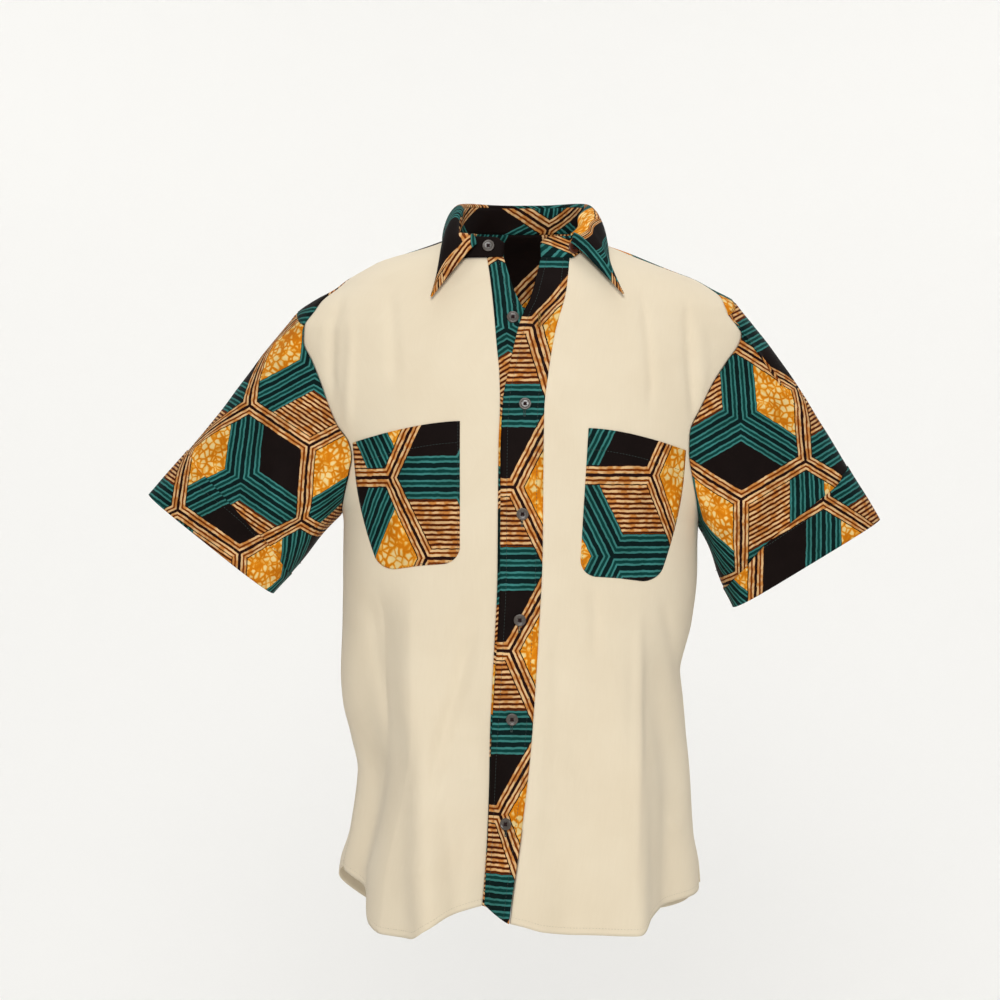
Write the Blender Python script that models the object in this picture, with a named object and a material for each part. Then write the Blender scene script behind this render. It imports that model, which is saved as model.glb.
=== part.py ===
"""A short-sleeved printed shirt in its worn shape, standing open and hollow.

Every piece of cloth is a thin closed wall. The body pieces are cut from one
hollow form, whose level sections are listed below, so their seams meet.
Sizes in the tables are millimetres and degrees. The front faces -Y, +Z is up,
and z = 0 is the level where the collar meets the top of the shoulders.
Angles run round the body: 0 is the front, 90 the wearer's left side (+X),
-90 the right side and 180 the back.
"""

import math
from collections import namedtuple

import bmesh
import bpy
from mathutils import Vector

MM = 0.001

# Cloth and seams
CLOTH = 1.2  # wall of a single layer
FOLDED_CLOTH = 1.6  # wall of the bands, the stand and the leaf, sewn double
SEAM_INSET = 0.17  # each piece stops this far short of its seam line
SHARP_EDGE = 40.0  # degrees, edges sharper than this stay crisp
LAYER_GAP = 0.3  # between one layer and the next one on it
OUTER_BAND_LIFT = 2.4  # the buttonhole band lies on the button band
LIFT_FADE = 45.0  # the left front comes down from the band over this width
LIFT_TOP_Z = -22.0  # above this the two bands part and the outer one is not lifted
LIFT_FULL_Z = -62.0  # below this it is lifted by the whole amount

# Rows and columns of the grids
HEM_ROWS = 13  # hem to underarm
ARM_ROWS = 11  # underarm to the front end of the shoulder seam
SHOULDER_ROWS = 7  # along the shoulder seam to the neck
FRONT_COLUMNS = 17
BACK_COLUMNS = 28
BAND_COLUMNS = 5
YOKE_TIP_COLUMNS = 3  # from the shoulder seam to the ridge, and again behind it
YOKE_BACK_COLUMNS = 14
SLEEVE_ROWS = 8
SLEEVE_HEM_ROWS = 2

# How far apart the two places are that give a direction on the form
NORMAL_TURN = 0.5  # degrees
NORMAL_RISE = 1.0

# Heights shared by several pieces
YOKE_BACK_Z = -82.0  # the yoke's straight seam across the back
YOKE_NECK_ANGLE = 83.0  # where the shoulder seams meet the neck
TIP_ROUND = 2.2  # how roundly the yoke's tips fall away from the ridge
TIP_SPREAD = 0.8  # spreads the tips' columns towards the ridge
BACK_HEM_Z = -712.0
OUTER_BAND_HEM_Z = -675.0  # at each band's free edge
UNDER_BAND_HEM_Z = -686.0
SLEEVE_HEM_DEPTH = 46.0
SLEEVE_HEM_GAP = 0.6  # the turned-up hem stands this far off the sleeve

Section = namedtuple("Section", "z left right front back square")
SECTIONS = (
    Section(30, -54, 60, 52, 60, 2.0),
    Section(18, -66, 73, 57, 66, 2.0),
    Section(8, -90, 86, 62, 77, 2.0),
    Section(-3, -122, 116, 68, 87, 2.0),
    Section(-12, -150, 138, 73, 93, 2.0),
    Section(-20, -165, 158, 78, 98, 2.0),
    Section(-30, -183, 184, 83, 103, 2.0),
    Section(-40, -196, 202, 88, 107, 2.0),
    Section(-52, -218, 225, 92, 111, 2.0),
    Section(-66, -238, 243, 96, 115, 2.0),
    Section(-87, -252, 252, 102, 119, 2.0),
    Section(-120, -243, 243, 111, 122, 2.05),
    Section(-150, -230, 230, 120, 124, 2.15),
    Section(-200, -210, 212, 128, 125, 2.25),
    Section(-250, -196, 198, 131, 124, 2.3),
    Section(-288, -187, 187, 131, 122, 2.35),
    Section(-330, -187, 186, 130, 119, 2.4),
    Section(-390, -188.5, 179.5, 128, 116, 2.4),
    Section(-443, -188.5, 168.5, 127, 114, 2.4),
    Section(-475, -187, 171, 127, 115, 2.4),
    Section(-512, -179, 175, 127, 117, 2.4),
    Section(-547, -172.5, 178, 128, 120, 2.4),
    Section(-613, -180, 182, 130, 126, 2.4),
    Section(-650, -189.5, 188, 132, 129, 2.4),
    Section(-720, -192, 190, 134, 133, 2.4),
)

# A fold runs from its top point to its bottom point and grows on the way.
# A positive height stands out, a negative one sinks in.
Fold = namedtuple("Fold", "top_angle top_z bottom_angle bottom_z width height")
FOLDS = (
    Fold(-47, -335, -34, -700, 8.5, 20),
    Fold(-60, -340, -78, -640, 9.0, -11),
    Fold(-24, -360, -17, -690, 9.0, -16),
    Fold(47, -345, 42, -700, 7.5, 20),
    Fold(60, -340, 66, -560, 8.0, -9),
    Fold(63, -520, 62, -700, 10.0, -9),
    Fold(22, -440, 22, -700, 10.0, -8),
    Fold(8, -470, 2, -700, 15.0, 6),
    Fold(112, -330, 116, -712, 9.0, 12),
    Fold(138, -300, 140, -712, 10.0, -10),
    Fold(163, -330, 160, -712, 9.0, 12),
    Fold(-172, -360, -176, -712, 10.0, -9),
    Fold(-150, -310, -152, -712, 9.0, 13),
    Fold(-126, -340, -128, -712, 10.0, -9),
    Fold(-106, -380, -103, -700, 8.0, 9),
)

# Edges of the two bands, as seen from the front: x at each height
Edge = namedtuple("Edge", "z x")
OUTER_BAND_RIGHT = (
    Edge(-12, 50),
    Edge(-47, 46),
    Edge(-91, 34.3),
    Edge(-135, 26.9),
    Edge(-172, 22.7),
    Edge(-243, 21.6),
    Edge(-309, 21.1),
    Edge(-408, 16.5),
    Edge(-519, 8.9),
    Edge(-607, -1),
    Edge(-673, -9.8),
    Edge(-692, -12),
)
OUTER_BAND_LEFT = (
    Edge(-12, 20.5),
    Edge(-57, 8.8),
    Edge(-70, 2.6),
    Edge(-89, -3.6),
    Edge(-125, -11.8),
    Edge(-163, -19),
    Edge(-208, -21),
    Edge(-278, -21.5),
    Edge(-340, -22),
    Edge(-408, -25),
    Edge(-507, -30.6),
    Edge(-618, -37.2),
    Edge(-692, -43.5),
)
UNDER_BAND_LEFT = (
    Edge(-12, -35.4),
    Edge(-32, -32.3),
    Edge(-69, -28.2),
    Edge(-106, -25.1),
    Edge(-133, -22.6),
    Edge(-165, -21.8),
    Edge(-208, -23.4),
    Edge(-278, -24),
    Edge(-340, -24.5),
    Edge(-408, -27.5),
    Edge(-507, -33),
    Edge(-618, -39.6),
    Edge(-692, -46),
)
UNDER_BAND_RIGHT = (
    Edge(-12, -18.5),
    Edge(-47, -7.6),
    Edge(-70, 2.6),
    Edge(-100, 9),
    Edge(-135, 14),
    Edge(-172, 17.5),
    Edge(-243, 18.5),
    Edge(-309, 18),
    Edge(-408, 13.5),
    Edge(-519, 6),
    Edge(-607, -4),
    Edge(-692, -14),
)

# The neck seam and the hems: height at each angle
Level = namedtuple("Level", "angle z")
NECK_SEAM = (
    Level(0, -12),
    Level(41, -12),
    Level(47, -6),
    Level(53, 3),
    Level(60, 10),
    Level(70, 15),
    Level(83, 18),
    Level(90, 19),
    Level(135, 23),
    Level(180, 24),
)
LEFT_FRONT_HEM = (
    Level(-8, -690),
    Level(0, -694),
    Level(10, -701),
    Level(25, -705),
    Level(42, -705),
    Level(50, -692),
    Level(60, -684),
    Level(75, -676),
    Level(90, -668),
)
RIGHT_FRONT_HEM = (
    Level(-90, -652),
    Level(-80, -666),
    Level(-72, -683),
    Level(-62, -701),
    Level(-54, -708),
    Level(-42, -709),
    Level(-34, -698),
    Level(-28, -685),
    Level(-20, -677),
    Level(-10, -674),
    Level(10, -677),
)
# On the back the hem falls from each side seam to a straight tail
BACK_TAIL_ANGLE = 38.0  # degrees from a side seam to the straight part

# What differs between the wearer's left side (sign 1) and right side (-1)
Side = namedtuple(
    "Side",
    "name sign underarm_z hem_z ridge_z corner_z front_armhole back_armhole "
    "shoulder_seam cuff_outer_x cuff_outer_z cuff_inner_x cuff_inner_z cap_puff",
)
Tilt = namedtuple("Tilt", "z angle")
LEFT = Side(
    name="left",
    sign=1,
    underarm_z=-288.0,
    hem_z=-668.0,
    ridge_z=-51.5,
    corner_z=-70.5,
    front_armhole=(
        Edge(-70.5, 217),
        Edge(-79, 225),
        Edge(-87, 231),
        Edge(-97, 229),
        Edge(-120, 214),
        Edge(-143, 199),
        Edge(-172, 184),
        Edge(-195, 174),
        Edge(-215, 173.5),
        Edge(-240, 177),
        Edge(-265, 182.3),
        Edge(-288, 187),
    ),
    back_armhole=(
        Edge(-82, 226),
        Edge(-120, 214),
        Edge(-160, 198),
        Edge(-200, 186),
        Edge(-235, 183),
        Edge(-265, 184.5),
        Edge(-288, 187),
    ),
    shoulder_seam=(
        Tilt(18, 83),
        Tilt(8, 80),
        Tilt(-3, 82),
        Tilt(-12, 86),
        Tilt(-22, 88),
        Tilt(-32, 87.5),
        Tilt(-42, 84.5),
        Tilt(-52, 81),
        Tilt(-62, 78.5),
        Tilt(-70.5, 77.8),
    ),
    cuff_outer_x=379.0,
    cuff_outer_z=-284.0,
    cuff_inner_x=226.0,
    cuff_inner_z=-376.0,
    cap_puff=6.0,
)
RIGHT = Side(
    name="right",
    sign=-1,
    underarm_z=-276.0,
    hem_z=-652.0,
    ridge_z=-65.0,
    corner_z=-81.0,
    front_armhole=(
        Edge(-81, 227),
        Edge(-97, 228),
        Edge(-119, 218),
        Edge(-143, 208),
        Edge(-165, 200),
        Edge(-186, 191),
        Edge(-204, 179),
        Edge(-218, 176),
        Edge(-235, 179),
        Edge(-255, 184),
        Edge(-276, 189),
    ),
    back_armhole=(
        Edge(-82, 235),
        Edge(-120, 221),
        Edge(-160, 203),
        Edge(-200, 189),
        Edge(-235, 185),
        Edge(-258, 186.5),
        Edge(-276, 189),
    ),
    shoulder_seam=(
        Tilt(18, 83),
        Tilt(8, 81),
        Tilt(-3, 83),
        Tilt(-14, 87),
        Tilt(-26, 88),
        Tilt(-38, 87),
        Tilt(-50, 83.5),
        Tilt(-66, 80),
        Tilt(-81, 79.8),
    ),
    cuff_outer_x=393.0,
    cuff_outer_z=-258.0,
    cuff_inner_x=263.0,
    cuff_inner_z=-361.0,
    cap_puff=-2.0,
)
CUFF_DEPTH = 80.0  # front to back across the flattened sleeve end
CUFF_BACK_DROP = 6.0  # the back of the sleeve end hangs this much lower
SLEEVE_GAP_TOP = 0.4  # from the seam line to the sleeve's first ring, at the ridge
SLEEVE_GAP_UNDER = 1.0  # and under the arm, where the walls meet at a sharp angle
SLEEVE_SIDESTEP = 1.1  # the first ring also steps sideways under the arm
SLEEVE_FULLNESS = 5.0  # the sleeve bulges this much in front and behind
CAP_PUFF_X = 0.8  # the share of the cap's puff that goes outwards
CAP_PUFF_Z = 0.6  # and upwards

# Pocket corners as seen from the front
Pocket = namedtuple(
    "Pocket",
    "name outer_top_x outer_top_z inner_top_x inner_top_z "
    "outer_bottom_x outer_bottom_z inner_bottom_x inner_bottom_z bow",
)
POCKETS = (
    Pocket("pocket_left", 169, -212, 68, -190, 139, -348, 58.5, -340, 6),
    Pocket("pocket_right", -174, -204, -62.6, -183, -145, -336, -62.6, -327, -6),
)
POCKET_CORNER = 17.0
POCKET_GAP = 0.9  # the front curves between its columns, so a little more than a layer's
POCKET_COLUMNS = 8
POCKET_ROWS = 4  # down to the round corners
POCKET_CORNER_ROWS = 4
POCKET_TOP_CURVE = 1.6  # the mouth and the bottom droop towards the outer side

# Collar
STAND_FRONT_HEIGHT = 21.0
STAND_BACK_HEIGHT = 28.0
STAND_LEAN = 4.0
STAND_CENTRE_X = 4.0  # the stand leans in towards this line
STAND_FULL_ANGLE = 120.0  # from here round the back it has its full height
STAND_END_ROUND = 3.5  # its front ends are this much lower
STAND_CLEARANCE = 0.75  # above the middle of the cloth at the neck seam
STAND_COLUMNS = 30
LeafEdge = namedtuple("LeafEdge", "turn x y z")
LEAF_EDGE = (
    LeafEdge(0.00, -93, -93, -54),
    LeafEdge(0.04, -87, -80, -30),
    LeafEdge(0.08, -84, -66, -10),
    LeafEdge(0.15, -82, -42, 7),
    LeafEdge(0.23, -82, -8, 18),
    LeafEdge(0.31, -79, 30, 19),
    LeafEdge(0.40, -56, 68, 13),
    LeafEdge(0.50, 3, 88, 9),
    LeafEdge(0.60, 62, 68, 13),
    LeafEdge(0.69, 85, 30, 19),
    LeafEdge(0.77, 89, -8, 17),
    LeafEdge(0.85, 90, -42, 5),
    LeafEdge(0.92, 91, -66, -13),
    LeafEdge(0.96, 96, -80, -31),
    LeafEdge(1.00, 105, -92, -51),
)
LEAF_FROM_END = 2  # the leaf starts this many columns in from each end of the stand
LEAF_ROWS = 6
LEAF_RISE = (1.5, 9.0)  # out and up from the stand's top, steers the leaf's rise
LEAF_ROLL = (8.0, 13.0)  # out and up, steers the fall from the fold to the edge
LEAF_ROLL_SHARE = 0.42

# Buttons: 20-line shirt buttons with a raised rim
BUTTON_RADIUS = 6.35
BUTTON_THICK = 2.4
BUTTON_DISH = 0.8
BUTTON_RIM = 1.5
BUTTON_BACK_BEVEL = 0.8
BUTTON_TOP_BEVEL = 0.5
BUTTON_SIDES = 16
Button = namedtuple("Button", "name x z lift")
ON_OUTER = OUTER_BAND_LIFT + FOLDED_CLOTH / 2
ON_UNDER = FOLDED_CLOTH / 2
BUTTONS = (
    Button("button_1", -8.8, -76.0, ON_UNDER),
    Button("button_2", 3.4, -165.5, ON_OUTER),
    Button("button_3", 0.8, -277.2, ON_OUTER),
    Button("button_4", -1.9, -384.7, ON_OUTER),
    Button("button_5", -9.8, -485.6, ON_OUTER),
    Button("button_6", -15.4, -591.6, ON_OUTER),
)
# Two more stand on the collar stand, at an x and a share of its height
STAND_BUTTON_GAP = 0.7  # the stand is curved and the button's back is flat
StandButton = namedtuple("StandButton", "name x share")
STAND_BUTTONS = (
    StandButton("button_stand", -34.9, 0.55),
    StandButton("button_under_collar", 54.6, 0.42),
)

# Colours of the plain finishes, linear
CREAM = (0.78, 0.68, 0.50, 1.0)
PRINT = (0.02, 0.16, 0.14, 1.0)
PRINT_BAND = (0.55, 0.26, 0.04, 1.0)
BUTTON_GREY = (0.15, 0.12, 0.10, 1.0)
BUTTON_BROWN = (0.14, 0.05, 0.02, 1.0)
CLOTH_ROUGHNESS = 0.9
BUTTON_ROUGHNESS = 0.35


def mix(a, b, share):
    return a + (b - a) * share


def ease(share):
    share = min(max(share, 0.0), 1.0)
    return share * share * (3.0 - 2.0 * share)


def through(points):
    """A smooth function through (position, value) points that never overshoots them."""
    points = sorted(points)
    steps = [b[0] - a[0] for a, b in zip(points, points[1:])]
    rises = [(b[1] - a[1]) / step for a, b, step in zip(points, points[1:], steps)]
    slopes = [rises[0]]
    for before, after in zip(rises, rises[1:]):
        same_way = before * after > 0
        slopes.append(2 * before * after / (before + after) if same_way else 0.0)
    slopes.append(rises[-1])

    def value(at):
        if at <= points[0][0]:
            return points[0][1]
        if at >= points[-1][0]:
            return points[-1][1]
        i = max(k for k, point in enumerate(points[:-1]) if point[0] <= at)
        step = steps[i]
        s = (at - points[i][0]) / step
        from_value = points[i][1] * (1 + 2 * s) * (1 - s) ** 2
        to_value = points[i + 1][1] * s * s * (3 - 2 * s)
        from_slope = slopes[i] * step * s * (1 - s) ** 2
        to_slope = slopes[i + 1] * step * s * s * (s - 1)
        return from_value + to_value + from_slope + to_slope

    return value


def column_of(rows, key, value):
    return through([(getattr(row, key), getattr(row, value)) for row in rows])


SECTION_VALUES = {
    name: column_of(SECTIONS, "z", name)
    for name in ("left", "right", "front", "back", "square")
}
NECK_Z = column_of(NECK_SEAM, "angle", "z")
LEFT_HEM_Z = column_of(LEFT_FRONT_HEM, "angle", "z")
RIGHT_HEM_Z = column_of(RIGHT_FRONT_HEM, "angle", "z")
OUTER_RIGHT_X = column_of(OUTER_BAND_RIGHT, "z", "x")
OUTER_LEFT_X = column_of(OUTER_BAND_LEFT, "z", "x")
UNDER_LEFT_X = column_of(UNDER_BAND_LEFT, "z", "x")
UNDER_RIGHT_X = column_of(UNDER_BAND_RIGHT, "z", "x")


def section(z):
    """Middle x, half width, front depth, back depth and squareness at a height."""
    left = SECTION_VALUES["left"](z)
    right = SECTION_VALUES["right"](z)
    front = SECTION_VALUES["front"](z)
    back = SECTION_VALUES["back"](z)
    square = SECTION_VALUES["square"](z)
    return (left + right) / 2, (right - left) / 2, front, back, square


def fold_height(angle, z):
    """How far the folds move the cloth out at this place."""
    total = 0.0
    for fold in FOLDS:
        down = (fold.top_z - z) / (fold.top_z - fold.bottom_z)
        if down <= 0:
            continue
        middle = mix(fold.top_angle, fold.bottom_angle, min(down, 1.0))
        off = (angle - middle + 180.0) % 360.0 - 180.0
        total += fold.height * ease(down) * math.exp(-((off / fold.width) ** 2))
    return total


def on_body(angle, z):
    """The middle of the cloth at an angle round the body and a height."""
    middle, half, front, back, square = section(z)
    sine = math.sin(math.radians(angle))
    cosine = math.cos(math.radians(angle))
    depth = front if cosine > 0 else back
    reach = (abs(sine) / half) ** square + (abs(cosine) / depth) ** square
    radius = reach ** (-1.0 / square) + fold_height(angle, z)
    return Vector((middle + radius * sine, -radius * cosine, z))


def body_normal(angle, z):
    """The outward direction of the body form at a place."""
    across = on_body(angle + NORMAL_TURN, z) - on_body(angle - NORMAL_TURN, z)
    up = on_body(angle, z + NORMAL_RISE) - on_body(angle, z - NORMAL_RISE)
    return across.cross(up).normalized()


def angle_at(x, z, behind=False):
    """The angle where the form has this x at this height, in front or behind."""
    middle, half, front, back, square = section(z)
    share = min(abs(x - middle) / half, 1.0)
    depth = (back if behind else front) * (1.0 - share**square) ** (1.0 / square)
    return math.degrees(math.atan2(x - middle, -depth if behind else depth))


def wall(name, grid, normals, thick, around=False):
    """A closed wall round a grid of middle points. Around joins its last column to its first."""
    rows = len(grid)
    columns = len(grid[0])
    mesh = bmesh.new()
    faces = []
    for way in (0.5, -0.5):
        faces.append(
            [
                [mesh.verts.new((p + n * thick * way) * MM) for p, n in zip(points, turned)]
                for points, turned in zip(grid, normals)
            ]
        )
    outer, inner = faces
    last = columns if around else columns - 1
    for i in range(rows - 1):
        for j in range(last):
            k = (j + 1) % columns
            mesh.faces.new((outer[i][j], outer[i][k], outer[i + 1][k], outer[i + 1][j]))
            mesh.faces.new((inner[i][j], inner[i + 1][j], inner[i + 1][k], inner[i][k]))
    for j in range(last):
        k = (j + 1) % columns
        mesh.faces.new((inner[0][j], inner[0][k], outer[0][k], outer[0][j]))
        mesh.faces.new((outer[-1][j], outer[-1][k], inner[-1][k], inner[-1][j]))
    if not around:
        for i in range(rows - 1):
            mesh.faces.new((inner[i + 1][0], inner[i][0], outer[i][0], outer[i + 1][0]))
            mesh.faces.new((outer[i + 1][-1], outer[i][-1], inner[i][-1], inner[i + 1][-1]))
    finish(name, mesh)


def finish(name, mesh):
    """Turns a bmesh into a smooth object with its faces pointing out."""
    bmesh.ops.recalc_face_normals(mesh, faces=mesh.faces)
    data = bpy.data.meshes.new(name)
    mesh.to_mesh(data)
    mesh.free()
    data.shade_smooth()
    data.set_sharp_from_angle(angle=math.radians(SHARP_EDGE))
    made = bpy.data.objects.new(name, data)
    bpy.context.collection.objects.link(made)


def material(name, colour, roughness):
    made = bpy.data.materials.new(name)
    made.use_nodes = True
    shader = made.node_tree.nodes["Principled BSDF"]
    shader.inputs["Base Color"].default_value = colour
    shader.inputs["Roughness"].default_value = roughness
    return made


def pull_in(grid, top=False, bottom=False, first=False, last=False, by=SEAM_INSET):
    """Draws the named edges of a grid back from their seam lines."""
    if first:
        for row in grid:
            row[0] = row[0] + (row[1] - row[0]).normalized() * by
    if last:
        for row in grid:
            row[-1] = row[-1] + (row[-2] - row[-1]).normalized() * by
    if bottom:
        grid[0] = [p + (q - p).normalized() * by for p, q in zip(grid[0], grid[1])]
    if top:
        grid[-1] = [p + (q - p).normalized() * by for p, q in zip(grid[-1], grid[-2])]


def laid(places, lifts=None):
    """Points and normals for a grid of (angle, z) places, lifted off the form."""
    grid = []
    normals = []
    for i, row in enumerate(places):
        turned = [body_normal(angle, z) for angle, z in row]
        points = [on_body(angle, z) for angle, z in row]
        if lifts:
            points = [p + n * lift for p, n, lift in zip(points, turned, lifts[i])]
        grid.append(points)
        normals.append(turned)
    return grid, normals


def band_lift(z):
    """How far the buttonhole band stands off the form at a height."""
    return OUTER_BAND_LIFT * ease((LIFT_TOP_Z - z) / (LIFT_TOP_Z - LIFT_FULL_Z))


def front_lift(angle, z):
    """How far a front stands off the form: the left one comes down from its band."""
    point = on_body(angle, z)
    away = point.x - OUTER_RIGHT_X(z)
    if point.x < 0.0 and away < 0.0:
        return 0.0
    return band_lift(z) * (1 - ease(away / LIFT_FADE))


def flat(z):
    """The button band lies on the form itself at every height."""
    return 0.0


def armhole_rows(side):
    """Heights from the underarm to the shoulder corner, then on along the shoulder seam."""
    arm = [
        mix(side.underarm_z, side.corner_z, k / ARM_ROWS) for k in range(ARM_ROWS + 1)
    ]
    neck = NECK_Z(YOKE_NECK_ANGLE)
    shoulder = [
        mix(side.corner_z, neck, k / SHOULDER_ROWS) for k in range(1, SHOULDER_ROWS + 1)
    ]
    return arm, shoulder


def front_edge_angle(side, z):
    """Where the front ends at this height: side seam, armhole or shoulder seam."""
    if z <= side.underarm_z:
        return 90.0 * side.sign
    if z > side.corner_z:
        return side.sign * column_of(side.shoulder_seam, "z", "angle")(z)
    x = column_of(side.front_armhole, "z", "x")(z)
    return angle_at(side.sign * x, z)


def back_edge_angle(side, z):
    """Where the back ends at this height: side seam or armhole."""
    if z <= side.underarm_z:
        return 90.0 * side.sign
    x = column_of(side.back_armhole, "z", "x")(z)
    return angle_at(side.sign * x, z, behind=True)


def front_places(side, inner_x, hem_z):
    """The (angle, z) grid of a front, from its band seam out to its side."""
    arm, shoulder = armhole_rows(side)
    outer_heights = arm[1:] + shoulder
    neck_z = outer_heights[-1]
    neck_inner = angle_at(inner_x(NECK_Z(0)), NECK_Z(0))
    neck_outer = front_edge_angle(side, neck_z)
    places = []
    for k in range(HEM_ROWS + 1):
        up = k / HEM_ROWS
        seam_z = mix(side.hem_z, side.underarm_z, up)
        guess = angle_at(inner_x(seam_z), seam_z)
        inner_z = mix(hem_z(guess), side.underarm_z, up)
        inner_angle = angle_at(inner_x(inner_z), inner_z)
        row = [(inner_angle, inner_z)]
        for j in range(1, FRONT_COLUMNS):
            angle = mix(inner_angle, 90.0 * side.sign, j / FRONT_COLUMNS)
            row.append((angle, mix(hem_z(angle), side.underarm_z, up)))
        row.append((90.0 * side.sign, seam_z))
        places.append(row)
    for outer_z in outer_heights:
        up = (outer_z - side.underarm_z) / (neck_z - side.underarm_z)
        outer_angle = front_edge_angle(side, outer_z)
        row = []
        for j in range(FRONT_COLUMNS + 1):
            across = j / FRONT_COLUMNS
            top = NECK_Z(abs(mix(neck_inner, neck_outer, across)))
            z = mix(side.underarm_z, top, up)
            inner_angle = angle_at(inner_x(z), z)
            row.append((mix(inner_angle, outer_angle, across), z))
        row[-1] = (outer_angle, outer_z)
        places.append(row)
    return places


def make_front(side, inner_x, hem_z):
    """Makes a front and returns the heights of its rows along the band seam."""
    places = front_places(side, inner_x, hem_z)
    seam_heights = [row[0][1] for row in places]
    if side.sign < 0:
        places = [row[::-1] for row in places]
    lifts = [[front_lift(*place) for place in row] for row in places]
    grid, normals = laid(places, lifts)
    pull_in(grid, first=True, last=True, top=True)
    wall("front_" + side.name, grid, normals, CLOTH)
    return seam_heights


def back_hem_z(angle):
    """The back hem: side seam height at the sides, then down to the tail."""
    side = LEFT if angle < 180.0 else RIGHT
    from_side = 90.0 - abs(180.0 - angle)
    return mix(side.hem_z, BACK_HEM_Z, ease(from_side / BACK_TAIL_ANGLE))


def make_back():
    """The back, from the wearer's left side round behind to the right side."""
    rows = HEM_ROWS + ARM_ROWS + 1
    places = []
    for k in range(rows):
        left = seam_place(LEFT, k)
        right = seam_place(RIGHT, k)
        row = []
        for j in range(BACK_COLUMNS + 1):
            across = j / BACK_COLUMNS
            angle = mix(left[0], 360.0 + right[0], across)
            level = mix(left[1], right[1], ease(across))
            if k <= HEM_ROWS:
                underarm = mix(LEFT.underarm_z, RIGHT.underarm_z, ease(across))
                level = mix(back_hem_z(angle), underarm, k / HEM_ROWS)
            row.append((angle, level))
        row[0] = left
        row[-1] = (360.0 + right[0], right[1])
        places.append(row)
    grid, normals = laid(places)
    pull_in(grid, first=True, last=True, top=True)
    wall("back", grid, normals, CLOTH)


def seam_place(side, k):
    """Row k of the back's edge: up the side seam, then up the back of the armhole."""
    if k <= HEM_ROWS:
        return 90.0 * side.sign, mix(side.hem_z, side.underarm_z, k / HEM_ROWS)
    z = mix(side.underarm_z, YOKE_BACK_Z, (k - HEM_ROWS) / ARM_ROWS)
    return back_edge_angle(side, z), z


def tip_places(side):
    """The yoke's armhole edge, from the shoulder seam over the ridge to the back seam."""
    front = front_edge_angle(side, side.corner_z)
    front_angle = abs(front)
    back_angle = abs(back_edge_angle(side, YOKE_BACK_Z))
    places = []
    for k in range(YOKE_TIP_COLUMNS + 1):
        share = k / YOKE_TIP_COLUMNS
        drop = (1 - share) ** TIP_ROUND
        angle = mix(front_angle, 90.0, share**TIP_SPREAD)
        places.append((angle, mix(side.ridge_z, side.corner_z, drop)))
    for k in range(1, YOKE_TIP_COLUMNS + 1):
        share = k / YOKE_TIP_COLUMNS
        angle = mix(90.0, back_angle, share ** (1 / TIP_SPREAD))
        places.append((angle, mix(side.ridge_z, YOKE_BACK_Z, share**TIP_ROUND)))
    return places


def make_yoke():
    """The yoke, from the left shoulder seam round behind the neck to the right one."""
    left = tip_places(LEFT)
    right = [(360.0 - angle, z) for angle, z in reversed(tip_places(RIGHT))]
    middle = []
    for k in range(1, YOKE_BACK_COLUMNS):
        angle = mix(left[-1][0], right[0][0], k / YOKE_BACK_COLUMNS)
        middle.append((angle, YOKE_BACK_Z))
    bottom = left + middle + right
    low = bottom[0][0]
    high = bottom[-1][0]
    neck_low = YOKE_NECK_ANGLE
    neck_high = 360.0 - YOKE_NECK_ANGLE
    places = []
    for k in range(SHOULDER_ROWS + 1):
        up = k / SHOULDER_ROWS
        row = []
        for angle, z in bottom:
            across = (angle - low) / (high - low)
            top_angle = mix(neck_low, neck_high, across)
            top_z = NECK_Z(180.0 - abs(180.0 - top_angle))
            row.append([mix(angle, top_angle, up), mix(z, top_z, up)])
        # Each end of the row is moved on to its shoulder seam, and the tip with it
        for end, step, side in ((0, 1, LEFT), (-1, -1, RIGHT)):
            seam = front_edge_angle(side, row[end][1] if k else side.corner_z) % 360.0
            shift = seam - row[end][0]
            for j in range(2 * YOKE_TIP_COLUMNS):
                share = 1 - ease(j / (2 * YOKE_TIP_COLUMNS))
                row[end + j * step][0] += shift * share
        places.append([tuple(place) for place in row])
    grid, normals = laid(places)
    pull_in(grid, first=True, last=True, top=True, bottom=True)
    wall("yoke", grid, normals, CLOTH)


def make_band(name, edges, lift_at, seam_heights, seam_share, free_hem_z):
    """A front band whose rows meet those of its front at the seam edge.

    The seam is the band's left edge where seam_share is 0 and its right edge where it is 1.
    """
    left_x, right_x = edges
    low = seam_heights[0]
    high = seam_heights[-1]
    places = []
    for height in seam_heights:
        up = (height - low) / (high - low)
        free_height = mix(free_hem_z, high, up)
        row = []
        for j in range(BAND_COLUMNS + 1):
            across = j / BAND_COLUMNS
            z = mix(height, free_height, abs(across - seam_share))
            x = mix(left_x(z), right_x(z), across)
            row.append((angle_at(x, z), z))
        places.append(row)
    lifts = [[lift_at(height)] * (BAND_COLUMNS + 1) for height in seam_heights]
    grid, normals = laid(places, lifts)
    pull_in(grid, first=True, last=True, top=True)
    wall(name, grid, normals, FOLDED_CLOTH)


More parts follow.
